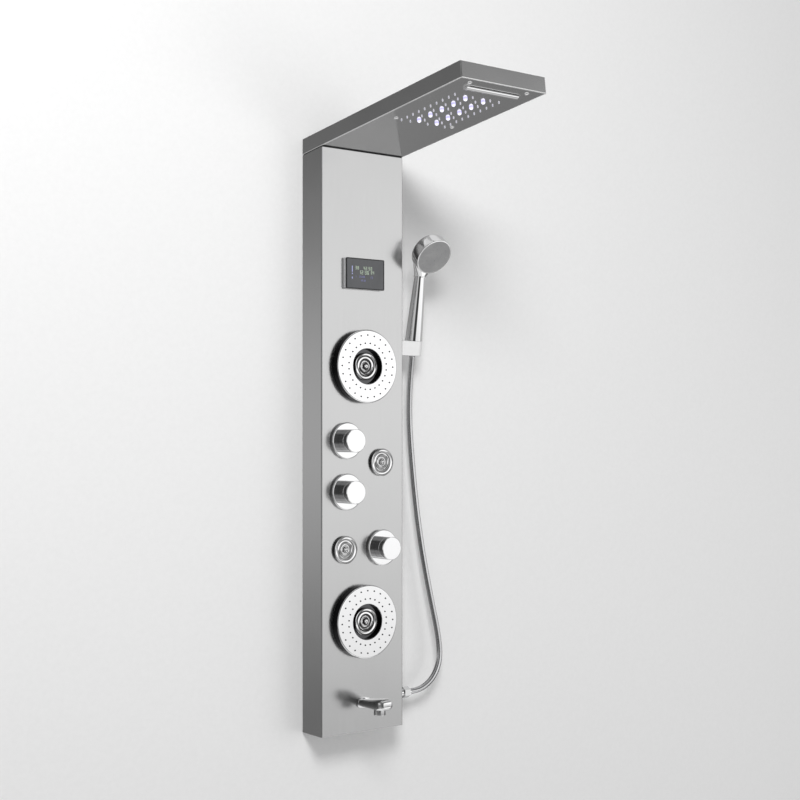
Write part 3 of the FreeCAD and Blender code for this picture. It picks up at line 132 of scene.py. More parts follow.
# Hand shower: the handle's heights are from the holder's middle, along the handle
HOLDER_MIDDLE = (0.1478, -0.038, 0.17)
HANDLE_LEAN = math.radians(9)
HANDLE_LOW = 0.0153
HANDLE_TOP = 0.1458
HANDLE_RADII = (0.0176, 0.0147, 0.011)      # at its foot, middle and neck
HANDLE_STEPS = 24
HANDLE_COLLAR = (0.0124, 0.0035)            # radius and height
HANDLE_TAIL = (0.007, 0.012)                # radius and length
FACE_MIDDLE = (0.1478, -0.109, 0.351)
FACE_TILT = math.radians(38)
FACE_SEAT = (0.03715, 0.003)                # radius and depth
DRUM_RADIUS = 0.0395
DRUM_DEPTH = 0.030
DRUM_ROUND = 0.009
DRUM_RIM = 0.0012

# Spout: heights are from its axis, depths from the column's front
SPOUT_MIDDLE = (0.0, -0.066, -0.542)
SPOUT_SECTIONS = (                          # depth, half width, bottom and top
    (-0.001, 0.0130, -0.0068, 0.0078),
    (0.003, 0.0130, -0.0068, 0.0080),
    (0.025, 0.0132, -0.0070, 0.0103),
    (0.045, 0.0146, -0.0074, 0.0137),
    (0.062, 0.0158, -0.0074, 0.0165),
    (0.074, 0.0156, -0.0060, 0.0170),
    (0.081, 0.0130, -0.0020, 0.0152),
    (0.083, 0.0080, 0.0030, 0.0110),
)
SPOUT_SQUARENESS = 3.4
SPOUT_SIDES = 32
SPOUT_COLLAR = (0.0155, 0.010, 0.003)       # half width, half height and depth
SPOUT_TAIL = (0.009, 0.0048, 0.024)         # radius, bore and length behind the front
OUTLET_DEPTH = 0.055
OUTLET_LOW = -0.0165                        # from the axis
OUTLET_RADIUS = 0.012
OUTLET_TOP = 0.012                          # over its lower end, inside the bar
OUTLET_ROUND = 0.001
OUTLET_SEAT = (0.00915, 0.005)              # radius and depth

# Room
WALL_PLACE = 0.003
FLOOR_PLACE = -1.4
ROOM_REACH = 6.0

# What polished metal sees. A sector is a direction in degrees round from the camera's own, the half
# angles where its light starts to fade and ends, and its brightness.
WINDOW = (62, 30, 42, 1.0)
LEFT_WALL = (-112, 58, 75, 0.12)
LEFT_PANEL = (-106, 26, 46, 0.44)
LOW_PANEL = (80, 18, 32, 0.95)
NEAR_PANEL = (-24, 7, 18, 0.5)
FAR_PANEL = (142, 34, 52, 0.42)

# A fade is two brightnesses, and the upward parts of the direction where the first ends and the second starts
WINDOW_TOP = (1, 0.1, 0.15, 0.5)
WINDOW_FOOT = (0.12, 1.1, -0.45, 0.02)
LEVEL_FOOT = (0, 1, -0.2, -0.02)
LEVEL_TOP = (1, 0, 0.02, 0.2)
LOW_FOOT = (0, 1, -0.85, -0.7)
LOW_TOP = (1, 0, -0.54, -0.46)
FAR_FOOT = (0, 1, -0.3, -0.1)
BELOW = (0.13, 0, -0.4, -0.15)
STRAIGHT_BELOW = (0.5, 0, -0.85, -0.65)
REAR_BELOW = (0.45, 0, -0.7, -0.42)
REAR_SIDE = (0, 1, 0.0, 0.3)                # by the direction's part along Y
ABOVE = (0, 0.25, 0.65, 0.9)
EVERYWHERE = 0.04
BACKGROUND_LEVEL = 0.86                     # seen by the camera
SURROUNDING_LEVEL = 0.42                    # seen by matt surfaces


# ---------------------------------------------------------------- materials


class Tree:
    """A node tree with short calls."""

    def __init__(self, tree):
        self.tree = tree

    def add(self, kind, **values):
        node = self.tree.nodes.new(kind)
        for name, value in values.items():
            setattr(node, name, value)
        return node

    def join(self, a, b):
        self.tree.links.new(a, b)

    def between(self, value, low, high, start=0.3, end=0.7, kind="LINEAR"):
        """The value stretched from start..end to low..high."""
        node = self.add("ShaderNodeMapRange", interpolation_type=kind)
        node.inputs["From Min"].default_value = start
        node.inputs["From Max"].default_value = end
        node.inputs["To Min"].default_value = low
        node.inputs["To Max"].default_value = high
        self.join(value, node.inputs["Value"])
        return node.outputs["Result"]

    def soft(self, value, low, high, start, end):
        return self.between(value, low, high, start, end, "SMOOTHSTEP")

    def maths(self, operation, first, second):
        """Two values, each a number or another node's output, in one operation."""
        node = self.add("ShaderNodeMath", operation=operation)
        for socket, value in zip(node.inputs, (first, second)):
            if isinstance(value, (int, float)):
                socket.default_value = value
            else:
                self.join(value, socket)
        return node.outputs["Value"]

    def plus(self, first, second):
        return self.maths("ADD", first, second)

    def times(self, first, second):
        return self.maths("MULTIPLY", first, second)

    def most(self, first, second):
        return self.maths("MAXIMUM", first, second)


class Nodes(Tree):
    """A material's node tree."""

    def __init__(self, name):
        self.material = bpy.data.materials.new(name)
        self.material.use_nodes = True
        super().__init__(self.material.node_tree)
        self.shader = self.tree.nodes["Principled BSDF"]

    def place(self, stretch=(1, 1, 1), turn=(0, 0, 0)):
        """The piece's own coordinates in metres, stretched."""
        where = self.add("ShaderNodeTexCoord")
        mapping = self.add("ShaderNodeMapping")
        mapping.inputs["Scale"].default_value = stretch
        mapping.inputs["Rotation"].default_value = turn
        self.join(where.outputs["Object"], mapping.inputs["Vector"])
        return mapping.outputs["Vector"]

    def noise(self, vector, scale, detail=4.0, rough=0.55):
        node = self.add("ShaderNodeTexNoise")
        node.inputs["Scale"].default_value = scale
        node.inputs["Detail"].default_value = detail
        node.inputs["Roughness"].default_value = rough
        self.join(vector, node.inputs["Vector"])
        return node.outputs["Fac"]

    def blend(self, value, first, second, start=0.3, end=0.7):
        """A colour between two colours."""
        node = self.add("ShaderNodeMix", data_type="RGBA")
        node.inputs["A"].default_value = (*first, 1)
        node.inputs["B"].default_value = (*second, 1)
        self.join(self.between(value, 0, 1, start, end), node.inputs["Factor"])
        return node.outputs["Result"]

    def bump(self, height, strength, distance):
        node = self.add("ShaderNodeBump")
        node.inputs["Strength"].default_value = strength
        node.inputs["Distance"].default_value = distance
        self.join(height, node.inputs["Height"])
        self.join(node.outputs["Normal"], self.shader.inputs["Normal"])

    def set(self, **values):
        for name, value in values.items():
            self.shader.inputs[name.replace("_", " ")].default_value = value


def grey(tone):
    return (tone, tone, tone)


def brushed_metal(name, dark, pale, grain, low, high):
    return brushed_tree(name, dark, pale, grain, low, high).material


def hemmed_steel(name, dark, pale, grain, low, high):
    """The head's brushed steel, polished along the round hem at its lower edge and painted brighter there as
    a painted highlight.
    """
    made = brushed_tree(name, dark, pale, grain, low, high, HEAD_TILT)
    parts = made.add("ShaderNodeSeparateXYZ")
    made.join(made.place(turn=(HEAD_TILT, 0, 0)), parts.inputs["Vector"])
    start, end = (UNDERSIDE_RISE + rise for rise in HEM_POLISH_AND_HIGHLIGHT)
    hem = made.soft(parts.outputs["Z"], 1, 0, start, end)
    # painted highlight: the hem's colour turns near white; its lower roughness is the polish
    for look, kind, polished in (("Base Color", "RGBA", (0.97, 0.97, 0.97, 1)), ("Roughness", "FLOAT", 0.12)):
        socket = made.shader.inputs[look]
        mix = made.add("ShaderNodeMix", data_type=kind)
        made.join(hem, mix.inputs["Factor"])
        made.join(socket.links[0].from_socket, mix.inputs["A"])
        mix.inputs["B"].default_value = polished
        made.join(mix.outputs["Result"], socket)
    return made.material


def brushed_tree(name, dark, pale, grain, low, high, turn=0.0):
    """Fine lines over soft clouds: grain is the lines' stretch on each axis, turned about X."""
    made = Nodes(name)
    lines = made.noise(made.place(grain, (turn, 0, 0)), 1.0, 3.0)
    clouds = made.noise(made.place(), 7.0, 2.0)
    mixed = made.plus(made.times(lines, 0.6), made.times(clouds, 0.4))
    made.join(made.blend(mixed, dark, pale), made.shader.inputs["Base Color"])
    made.join(made.between(mixed, low, high), made.shader.inputs["Roughness"])
    made.set(Metallic=1.0)
    made.bump(lines, 0.05, 0.00003)
    return made


def chrome(name, tone, low=0.03, high=0.09):
    """Polished plate with faint smears, water haze and a little orange peel."""
    made = Nodes(name)
    smears = made.noise(made.place((1, 1, 0.35)), 38.0, 5.0)
    duller = tuple(0.96 * part for part in tone)
    made.join(made.blend(smears, duller, tone), made.shader.inputs["Base Color"])
    made.join(made.between(smears, low, high, 0.35, 0.75), made.shader.inputs["Roughness"])
    made.set(Metallic=1.0)
    made.bump(made.noise(made.place(), 60.0, 2.0), 0.02, 0.0004)
    return made.material


def petalled_chrome(name, middle, dark_reflection):
    """Polished plate beaten into uneven rings round a middle, with a painted dark reflection between the
    rings.
    """
    made = Nodes(name)
    centred = made.add("ShaderNodeMapping")
    centred.inputs["Location"].default_value = [-part for part in middle]
    made.join(made.place(), centred.inputs["Vector"])
    rings = made.add("ShaderNodeTexWave", wave_type="RINGS", rings_direction="Y")
    rings.inputs["Scale"].default_value = RING_WAVES
    rings.inputs["Distortion"].default_value = 5.0
    rings.inputs["Detail"].default_value = 0.0
    rings.inputs["Detail Scale"].default_value = 0.45
    made.join(centred.outputs["Vector"], rings.inputs["Vector"])
    # painted reflection: the plate's colour turns dark between the rings
    made.join(made.blend(rings.outputs["Fac"], grey(dark_reflection), PLATE_TONE, 0.3, 0.55),
              made.shader.inputs["Base Color"])
    made.join(made.between(rings.outputs["Fac"], 0.1, 0.04, 0.0, 1.0), made.shader.inputs["Roughness"])
    made.set(Metallic=1.0)
    made.bump(rings.outputs["Fac"], 1.0, 0.0008)
    return made.material


def edged_plate(name, front, face, wall, depth, metallic=1.0, low=0.04, high=0.1):
    """A plate whose face has one tone and whose walls, past a depth behind its front, another."""
    made = Nodes(name)
    parts = made.add("ShaderNodeSeparateXYZ")
    made.join(made.place(), parts.inputs["Vector"])
    smears = made.noise(made.place((1, 1, 0.35)), 38.0, 5.0)
    where = made.plus(parts.outputs["Y"], made.between(smears, -0.0001, 0.0001))
    tone = made.blend(where, face, wall, front + depth, front + EDGE_FADE * depth)
    made.join(tone, made.shader.inputs["Base Color"])
    made.join(made.between(smears, low, high, 0.35, 0.75), made.shader.inputs["Roughness"])
    made.set(Metallic=metallic)
    made.bump(made.noise(made.place(), 60.0, 2.0), 0.02, 0.0004)
    return made.material


def moulded(name, dark, pale, low, high, grain=900.0, strength=0.1):
    """Plastic or rubber with a fine moulded grain and a slight tone change."""
    made = Nodes(name)
    cloud = made.noise(made.place(), 35.0, 3.0)
    fine = made.noise(made.place(), grain, 3.0)
    made.join(made.blend(cloud, dark, pale), made.shader.inputs["Base Color"])
    made.join(made.between(fine, low, high), made.shader.inputs["Roughness"])
    made.bump(fine, strength, 0.0001)
    return made.material


def zinc():
    """Plated steel with its crystals."""
    made = Nodes("zinc_plate")
    cells = made.add("ShaderNodeTexVoronoi", feature="F1")
    cells.inputs["Scale"].default_value = 180.0
    made.join(made.place(), cells.inputs["Vector"])
    made.join(made.blend(cells.outputs["Distance"], (0.44, 0.45, 0.46), (0.6, 0.61, 0.61), 0.1, 0.8),
              made.shader.inputs["Base Color"])
    made.join(made.between(cells.outputs["Distance"], 0.3, 0.5, 0.1, 0.8), made.shader.inputs["Roughness"])
    made.set(Metallic=1.0)
    made.bump(cells.outputs["Distance"], 0.1, 0.0001)
    return made.material


def glass_front():
    """The display's dark glass: clear coat over a smoked layer."""
    made = Nodes("display_glass")
    haze = made.noise(made.place((1, 1, 0.5)), 45.0, 4.0)
    made.join(made.blend(haze, (0.045, 0.047, 0.052), (0.06, 0.062, 0.068)), made.shader.inputs["Base Color"])
    made.join(made.between(haze, 0.05, 0.13), made.shader.inputs["Roughness"])
    made.set(IOR=1.5, Coat_Weight=0.6, Coat_Roughness=0.04)
    return made.material


def lamp_glow():
    """A lit lens, whitest at its tip and lilac at its root."""
    made = Nodes("lens_glow")
    parts = made.add("ShaderNodeSeparateXYZ")
    made.join(made.place(turn=(HEAD_TILT, 0, 0)), parts.inputs["Vector"])
    grain = made.noise(made.place(), 400.0, 3.0)
    uneven = made.plus(parts.outputs["Z"], made.between(grain, -0.0006, 0.0006))
    white_end = UNDERSIDE_RISE - (1 - LENS_WHITE) * LENS_DROP
    made.join(made.blend(grain, (0.3, 0.3, 0.42), (0.38, 0.38, 0.5)), made.shader.inputs["Base Color"])
    made.join(made.blend(uneven, (0.9, 0.88, 1.0), (0.4, 0.37, 0.78), white_end, UNDERSIDE_RISE),
              made.shader.inputs["Emission Color"])
    made.set(Roughness=0.15, Emission_Strength=1.15, IOR=1.49)
    return made.material


def painted_glow_silicone():
    """Milky nozzle tips with a painted glow: a faint light of their own stands in for the head's lamps
    lighting them.
    """
    made = Nodes("painted_glow_silicone")
    cloud = made.noise(made.place(), 500.0, 3.0)
    made.join(made.blend(cloud, (0.72, 0.72, 0.76), (0.86, 0.86, 0.9)), made.shader.inputs["Base Color"])
    # painted light: the tips glow faintly lilac
    made.join(made.blend(cloud, (0.8, 0.78, 1.0), (0.95, 0.94, 1.0)), made.shader.inputs["Emission Color"])
    made.join(made.between(cloud, 0.35, 0.5), made.shader.inputs["Roughness"])
    made.set(Emission_Strength=0.3)
    return made.material


def circuit():
    """A green board with copper tracks under the lacquer."""
    made = Nodes("circuit_board")
    bricks = made.add("ShaderNodeTexBrick")
    bricks.inputs["Scale"].default_value = 260.0
    bricks.inputs["Mortar Size"].default_value = 0.03
    made.join(made.place(), bricks.inputs["Vector"])
    made.join(made.blend(bricks.outputs["Fac"], (0.02, 0.12, 0.06), (0.05, 0.24, 0.1), 0.0, 1.0),
              made.shader.inputs["Base Color"])
    made.join(made.between(made.noise(made.place(), 300.0), 0.3, 0.45), made.shader.inputs["Roughness"])
    made.set(Coat_Weight=0.3)
    return made.material


def lit_sign(name, colour, strength):
    """Lit marks behind the display's glass."""
    made = Nodes(name)
    grain = made.noise(made.place(), 700.0, 2.0)
    dimmer = tuple(0.8 * part for part in colour)
    made.join(made.blend(grain, dimmer, colour), made.shader.inputs["Emission Color"])
    made.set(Base_Color=(0.02, 0.02, 0.02, 1), Roughness=0.4, Emission_Strength=strength)
    return made.material


def metals():
    """The metal finishes by slot. A brushed one's grain is its stretch across X, Y and Z."""
    upright = (2200, 2200, 16)
    outward = (2200, 16, 2200)
    turned = (30, 30, 900)
    drawn = (200, 200, 30)
    return {
        "brushed_panel": brushed_metal("brushed_panel", grey(0.57), grey(0.63), upright, 0.19, 0.25),
        "brushed_head": hemmed_steel("brushed_head", grey(0.58), grey(0.64), outward, 0.19, 0.25),
        "pipe_steel": brushed_metal("pipe_steel", grey(0.5), grey(0.66), drawn, 0.2, 0.35),
        "brass": brushed_metal("turned_brass", (0.62, 0.42, 0.17), (0.8, 0.58, 0.27), turned, 0.25, 0.4),
        "zinc_steel": zinc(),
        "chrome_trim": chrome("chrome_trim", PLATE_TONE),
        "hose_chrome": chrome("hose_chrome", (0.66, 0.66, 0.67), 0.14, 0.24),
    }


def mouldings():
    """The plastic and rubber finishes by slot: dark and pale tone, least and most roughness."""
    return {
        "black_rubber": moulded("black_rubber", (0.012, 0.012, 0.013), (0.03, 0.03, 0.031), 0.55, 0.75),
        "pale_silicone": painted_glow_silicone(),
        "dark_silicone": moulded("dark_silicone", (0.03, 0.03, 0.033), (0.07, 0.07, 0.075), 0.5, 0.65),
        "white_moulding": moulded("white_moulding", (0.66, 0.66, 0.64), (0.76, 0.76, 0.75), 0.4, 0.55),
        "blue_moulding": moulded("blue_moulding", (0.05, 0.12, 0.3), (0.08, 0.17, 0.4), 0.35, 0.5),
        "black_moulding": moulded("black_moulding", (0.015, 0.015, 0.016), (0.035, 0.035, 0.037), 0.4, 0.6),
        "black_gloss": moulded("black_gloss", (0.008, 0.008, 0.009), (0.016, 0.016, 0.018), 0.1, 0.2,
                               grain=500.0, strength=0.03),
        "satin_holder": moulded("satin_holder", grey(0.84), grey(0.88), 0.3, 0.42,
                                grain=1200.0, strength=0.05),
        "grey_face": moulded("grey_face", (0.34, 0.34, 0.345), grey(0.4), 0.4, 0.55),
    }


def slot_materials():
    return {**metals(), **mouldings(), "display_glass": glass_front(), "lens_clear": lamp_glow(),
            "green_board": circuit()}


def edged_plates():
    """The ring faceplates, with dark walls, and the display's black bezel, with pale ones."""
    plates = {}
    for jet in RING_JETS:
        plate = jet + "_faceplate"
        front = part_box(plate)[0][1]
        plates[plate] = edged_plate("walls_" + plate, front, PLATE_TONE, (0.1, 0.1, 0.105), PLATE_EDGE)
    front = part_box("display_bezel")[0][1]
    plates["display_bezel"] = edged_plate("bezel_frame", front, (0.012, 0.012, 0.013), (0.62, 0.62, 0.63),
                                          BEZEL_EDGE, metallic=0.0, low=0.25, high=0.4)
    return plates


def dress_nodes(materials):
    """Every piece takes the material of its slot, but for the head, the edged plates and the jets."""
    special = {name: materials["brushed_head"] for name in HEAD_NODES}
    special.update(edged_plates())
    for jet in JETS:
        low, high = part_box(jet + "_socket")
        middle = [(a + b) / 2 for a, b in zip(low, high)]
        # the dark tone painted between the jets' rings, a painted reflection
        dark_reflection = RING_DARK_REFLECTION if jet in RING_JETS else JET_DARK_REFLECTION
        for part in ("_socket", "_ball"):
            special[jet + part] = petalled_chrome("petals_" + jet, middle, dark_reflection)
    for name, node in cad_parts.items():
        for place in node.material_slots:
            place.material = special.get(name, materials[place.material.name.split(".")[0]])


# ---------------------------------------------------------------- display


def bar_shapes(digit, x, z, tall):
    """The lit bars of one seven-bar digit, as (low x, low z, high x, high z), from its lower left."""
    wide = DIGIT_SHAPE * tall
    thick = DIGIT_BAR * tall
    half = tall / 2
    bars = {
        "a": (0, tall - thick, wide, tall), "b": (wide - thick, half, wide, tall),
        "c": (wide - thick, 0, wide, half), "d": (0, 0, wide, thick), "e": (0, 0, thick, half),
        "f": (0, half, thick, tall), "g": (0, half - thick / 2, wide, half + thick / 2),
    }
    return [(x + low_x, z + low_z, x + high_x, z + high_z)
            for low_x, low_z, high_x, high_z in (bars[key] for key in DIGIT_BARS[digit])]


def number_bars(text, x, z, tall):
    """The lit bars of a row of digits and colons, from its lower left."""
    bars = []
    thick = DIGIT_BAR * tall
    for mark in text:
        if mark in DIGIT_BARS:
            bars += bar_shapes(mark, x, z, tall)
        elif mark == ":":
            bars += [(x, z + share * tall, x + thick, z + share * tall + thick) for share in COLON_RISES]
        x += (DIGIT_SHAPE + 2 * DIGIT_BAR) * tall if mark != ":" else COLON_STEP * thick
    return bars


def lit_marks(name, bars, colour, strength):
    """Thin lit bars on the display's glass; the places are metres from its lower left corner."""
    low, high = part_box("display_glass")
    made = bmesh.new()
    for low_x, low_z, high_x, high_z in bars:
        corners = [(low_x, low_z), (high_x, low_z), (high_x, high_z), (low_x, high_z)]
        layers = [[made.verts.new((low[0] + x, low[1] - depth, low[2] + z)) for x, z in corners]
                  for depth in (0.0, MARK_THICKNESS)]
        made.faces.new(layers[1])
        for k in range(4):
            made.faces.new((layers[0][k], layers[0][(k + 1) % 4], layers[1][(k + 1) % 4], layers[1][k]))
    bmesh.ops.recalc_face_normals(made, faces=made.faces)
    mesh = bpy.data.meshes.new(name)
    made.to_mesh(mesh)
    made.free()
    mesh.materials.append(lit_sign(name, colour, strength))
    piece = bpy.data.objects.new(name, mesh)
    bpy.context.scene.collection.objects.link(piece)
    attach(piece, "root")


def make_display():
    """Generic lit marks: a column of bars, two rows of numbers and rows of small figures."""
    column = [(COLUMN_LEFT, low, COLUMN_RIGHT, high) for low, high in COLUMN_BARS]
    large, small = ([bar for numbers in rows for bar in number_bars(*numbers)]
                    for rows in (LARGE_NUMBERS, SMALL_NUMBERS))
    lit_marks("display_column", column, colour=(0.5, 0.52, 0.9), strength=0.9)
    lit_marks("display_numbers", large, colour=(0.62, 0.75, 0.58), strength=0.75)
    lit_marks("display_small", small, colour=(0.36, 0.36, 0.75), strength=0.55)


# ---------------------------------------------------------------- hose


def curve_points(route):
    """Points along the smooth line that the route controls."""
    curve = bpy.data.curves.new("hose_line", "CURVE")
    curve.dimensions = "3D"
    curve.resolution_u = HOSE_STEPS
    spline = curve.splines.new("NURBS")
    spline.points.add(len(route) - 1)
    for point, place in zip(spline.points, route):
        point.co = (*place, 1)
    spline.order_u = 3
    spline.use_endpoint_u = True
    holder = bpy.data.objects.new("hose_line", curve)
    bpy.context.scene.collection.objects.link(holder)
    bpy.context.view_layer.update()
    mesh = bpy.data.meshes.new_from_object(holder)
    points = [vertex.co.copy() for vertex in mesh.vertices]
    bpy.data.objects.remove(holder)
    return points


def tube(name, points, radius, sides):
    """A closed smooth tube along the points, with its rings kept from twisting."""
    made = bmesh.new()
    rings = []
    side = Vector((0, 1, 0))
    for k, here in enumerate(points):
        ahead = (points[min(k + 1, len(points) - 1)] - points[max(k - 1, 0)]).normalized()
        side = (side - ahead * side.dot(ahead)).normalized()
        up = ahead.cross(side)
        rings.append([made.verts.new(here + radius * (side * math.cos(turn) + up * math.sin(turn)))
                      for turn in (2 * math.pi * s / sides for s in range(sides))])
    for first, second in zip(rings, rings[1:]):
        for s in range(sides):
            t = (s + 1) % sides
            made.faces.new((first[s], first[t], second[t], second[s]))
    made.faces.new(rings[0][::-1])
    made.faces.new(rings[-1])
    mesh = bpy.data.meshes.new(name)
    made.normal_update()
    made.to_mesh(mesh)
    made.free()
    for face in mesh.polygons:
        face.use_smooth = len(face.vertices) == 4
    piece = bpy.data.objects.new(name, mesh)
    bpy.context.scene.collection.objects.link(piece)
    return piece


def make_hose(materials):
    points = curve_points(HOSE_ROUTE)
    hose = tube("hose_tube", points, HOSE_RADIUS, HOSE_SIDES)
    hose.data.materials.append(materials["hose_chrome"])
    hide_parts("hose")
    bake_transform(hose)


# ---------------------------------------------------------------- turned and lofted pieces


def round_corner(radius, height, size, start, steps=8):
    """A quarter circle in a profile round (radius, height), from the start angle on, in degrees."""
    return [(radius + size * math.cos(turn), height + size * math.sin(turn))
            for turn in (math.radians(start + 90 * k / steps) for k in range(steps + 1))]


def round_ring(made, radius, height, place, count=SIDES):
    """Points on a circle round local Z; a count below SIDES stops short of the whole turn."""
    return [made.verts.new(place @ Vector((radius * math.cos(turn), radius * math.sin(turn), height)))
            for turn in (2 * math.pi * s / SIDES for s in range(count))]


def turn_profile(made, profile, place):
    """The closed form that a profile of (radius, height) sweeps round local Z."""
    rings = []
    for radius, height in profile:
        rings.append(round_ring(made, radius, height, place, SIDES if radius > 0 else 1))
    bridge(made, rings)


def bridge(made, rings):
    """Faces between neighbouring rings; a ring of one point closes the form."""
    for first, second in zip(rings, rings[1:]):
        sides = max(len(first), len(second))
        for s in range(sides):
            t = (s + 1) % sides
            corners = [first[s % len(first)], first[t % len(first)], second[t % len(second)],
                       second[s % len(second)]]
            made.faces.new(list(dict.fromkeys(corners)))


def stand_for(name, made, material, node, body):
    """Turns the drawn form into a piece that stands for one of the frame's nodes."""
    bmesh.ops.recalc_face_normals(made, faces=made.faces)
    mesh = bpy.data.meshes.new(name)
    made.to_mesh(mesh)
    made.free()
    mesh.shade_smooth()
    mesh.set_sharp_from_angle(angle=math.radians(30))
    mesh.materials.append(material)
    piece = bpy.data.objects.new(name, mesh)
    bpy.context.scene.collection.objects.link(piece)
    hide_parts(node)
    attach(piece, body)
    return piece


def handle_profile():
    """The handle's outline from its tail to its neck's ring, flared as a parabola through three radii."""
    foot, middle, neck = HANDLE_RADII
    collar, collar_height = HANDLE_COLLAR
    tail, tail_length = HANDLE_TAIL
    profile = [(0, HANDLE_LOW - tail_length), (tail, HANDLE_LOW - tail_length), (tail, HANDLE_LOW)]
    for k in range(HANDLE_STEPS + 1):
        share = k / HANDLE_STEPS
        radius = (2 * foot * (share - 0.5) * (share - 1) - 4 * middle * share * (share - 1)
                  + 2 * neck * share * (share - 0.5))
        profile.append((radius, HANDLE_LOW + share * (HANDLE_TOP - HANDLE_LOW)))
    collar_top = HANDLE_TOP + collar_height
    return profile + [(collar, HANDLE_TOP), (collar, collar_top), (0, collar_top)]


def drum_profile():
    """The spray head's outline from the middle of its round back to the seat of its face."""
    seat, seat_depth = FACE_SEAT
    back = round_corner(DRUM_RADIUS - DRUM_ROUND, DRUM_ROUND - DRUM_DEPTH, DRUM_ROUND, -90)
    rim = round_corner(DRUM_RADIUS - DRUM_RIM, -DRUM_RIM, DRUM_RIM, 0, 4)
    return [(0, -DRUM_DEPTH)] + back + rim + [(seat, 0), (seat, -seat_depth), (0, -seat_depth)]


def make_handset(materials):
    """The hand shower's body: a flared handle, a drum and the scoop that joins the two."""
    handle = Matrix.Translation(HOLDER_MIDDLE) @ Matrix.Rotation(HANDLE_LEAN, 4, "X")
    head = Matrix.Translation(FACE_MIDDLE) @ Matrix.Rotation(math.pi / 2 + FACE_TILT, 4, "X")
    made = bmesh.new()
    turn_profile(made, handle_profile(), handle)
    turn_profile(made, drum_profile(), head)
    neck = round_ring(made, HANDLE_RADII[2], HANDLE_TOP, handle)
    back = round_ring(made, DRUM_RADIUS - DRUM_RIM, DRUM_ROUND - DRUM_DEPTH, head)
    bmesh.ops.convex_hull(made, input=neck + back, use_existing_faces=False)
    stand_for("handset_shell", made, materials["chrome_trim"], "handset_body", "handset")


def squared_ring(made, depth, half_wide, low, high):
    """A ring of points on a rounded square across the spout."""
    middle = (low + high) / 2
    half_tall = (high - low) / 2
    points = []
    for turn in (2 * math.pi * s / SPOUT_SIDES for s in range(SPOUT_SIDES)):
        across, up = (math.copysign(abs(part) ** (2 / SPOUT_SQUARENESS), part)
                      for part in (math.cos(turn), math.sin(turn)))
        points.append(made.verts.new(Vector(SPOUT_MIDDLE)
                                     + Vector((half_wide * across, -depth, middle + half_tall * up))))
    return points


def squared_prism(made, sections):
    """A closed form through rounded squares, each a depth, half width, bottom and top."""
    rings = [squared_ring(made, *section) for section in sections]
    bridge(made, rings)
    made.faces.new(rings[0])
    made.faces.new(rings[-1])


def spout_bar():
    """The spout's bar, which swells to a raised round nose."""
    bar = bmesh.new()
    squared_prism(bar, SPOUT_SECTIONS)
    return bar


def spout_fittings():
    """The spout's collar, its bored tail behind the column's front, and its outlet."""
    fittings = bmesh.new()
    half_wide, half_tall, depth = SPOUT_COLLAR
    squared_prism(fittings, [(place, half_wide, -half_tall, half_tall) for place in (0.0, depth)])
    outward = Matrix.Translation(SPOUT_MIDDLE) @ Matrix.Rotation(math.pi / 2, 4, "X")
    radius, bore, length = SPOUT_TAIL
    tail = [(bore, depth), (radius, depth), (radius, -length), (bore, -length), (bore, depth)]
    turn_profile(fittings, tail, outward)
    seat, seat_depth = OUTLET_SEAT
    low = Matrix.Translation(Vector(SPOUT_MIDDLE) + Vector((0, -OUTLET_DEPTH, OUTLET_LOW)))
    corner = round_corner(OUTLET_RADIUS - OUTLET_ROUND, OUTLET_ROUND, OUTLET_ROUND, -90, 4)
    outlet = [(0, seat_depth), (seat, seat_depth), (seat, 0)] + corner
    outlet += [(OUTLET_RADIUS, OUTLET_TOP), (0, OUTLET_TOP)]
    turn_profile(fittings, outlet, low)
    return fittings


def make_spout(materials):
    piece = stand_for("spout_bar", spout_bar(), materials["chrome_trim"], "spout_body", "root")
    piece.modifiers.new("smooth", "SUBSURF").render_levels = 2
    stand_for("spout_fittings", spout_fittings(), materials["chrome_trim"], "spout_body", "root")


# ---------------------------------------------------------------- studio


def make_camera():
    camera = bpy.data.objects.new("camera", bpy.data.cameras.new("camera"))
    camera.location = CAMERA_PLACE
    camera.rotation_euler = (math.pi / 2, 0, -CAMERA_TURN)
    camera.data.lens = CAMERA_LENS
    camera.data.shift_y = CAMERA_SHIFT
    camera.data.clip_end = CAMERA_REACH
    bpy.context.scene.collection.objects.link(camera)
    bpy.context.scene.camera = camera


def lamp(name, place, aim, size, power):
    """A square lamp that polished metal doesn't mirror."""
    data = bpy.data.lights.new(name, "AREA")
    data.size = size
    data.energy = power
    made = bpy.data.objects.new(name, data)
    made.location = place
    made.rotation_euler = (Vector(aim) - Vector(place)).to_track_quat("-Z", "Y").to_euler()
    made.visible_glossy = False
    bpy.context.scene.collection.objects.link(made)


def make_studio():
    bpy.context.scene.view_settings.view_transform = "Standard"
    lamp("key", place=(-1.5, -2.6, 1.9), aim=(0, 0, 0.1), size=1.1, power=78)
    lamp("fill", place=(1.9, -2.4, -0.6), aim=(0, 0, 0.1), size=1.8, power=14)
    lamp("rear", place=(0.4, 2.6, 1.2), aim=(0, 0, 0), size=2.0, power=16)


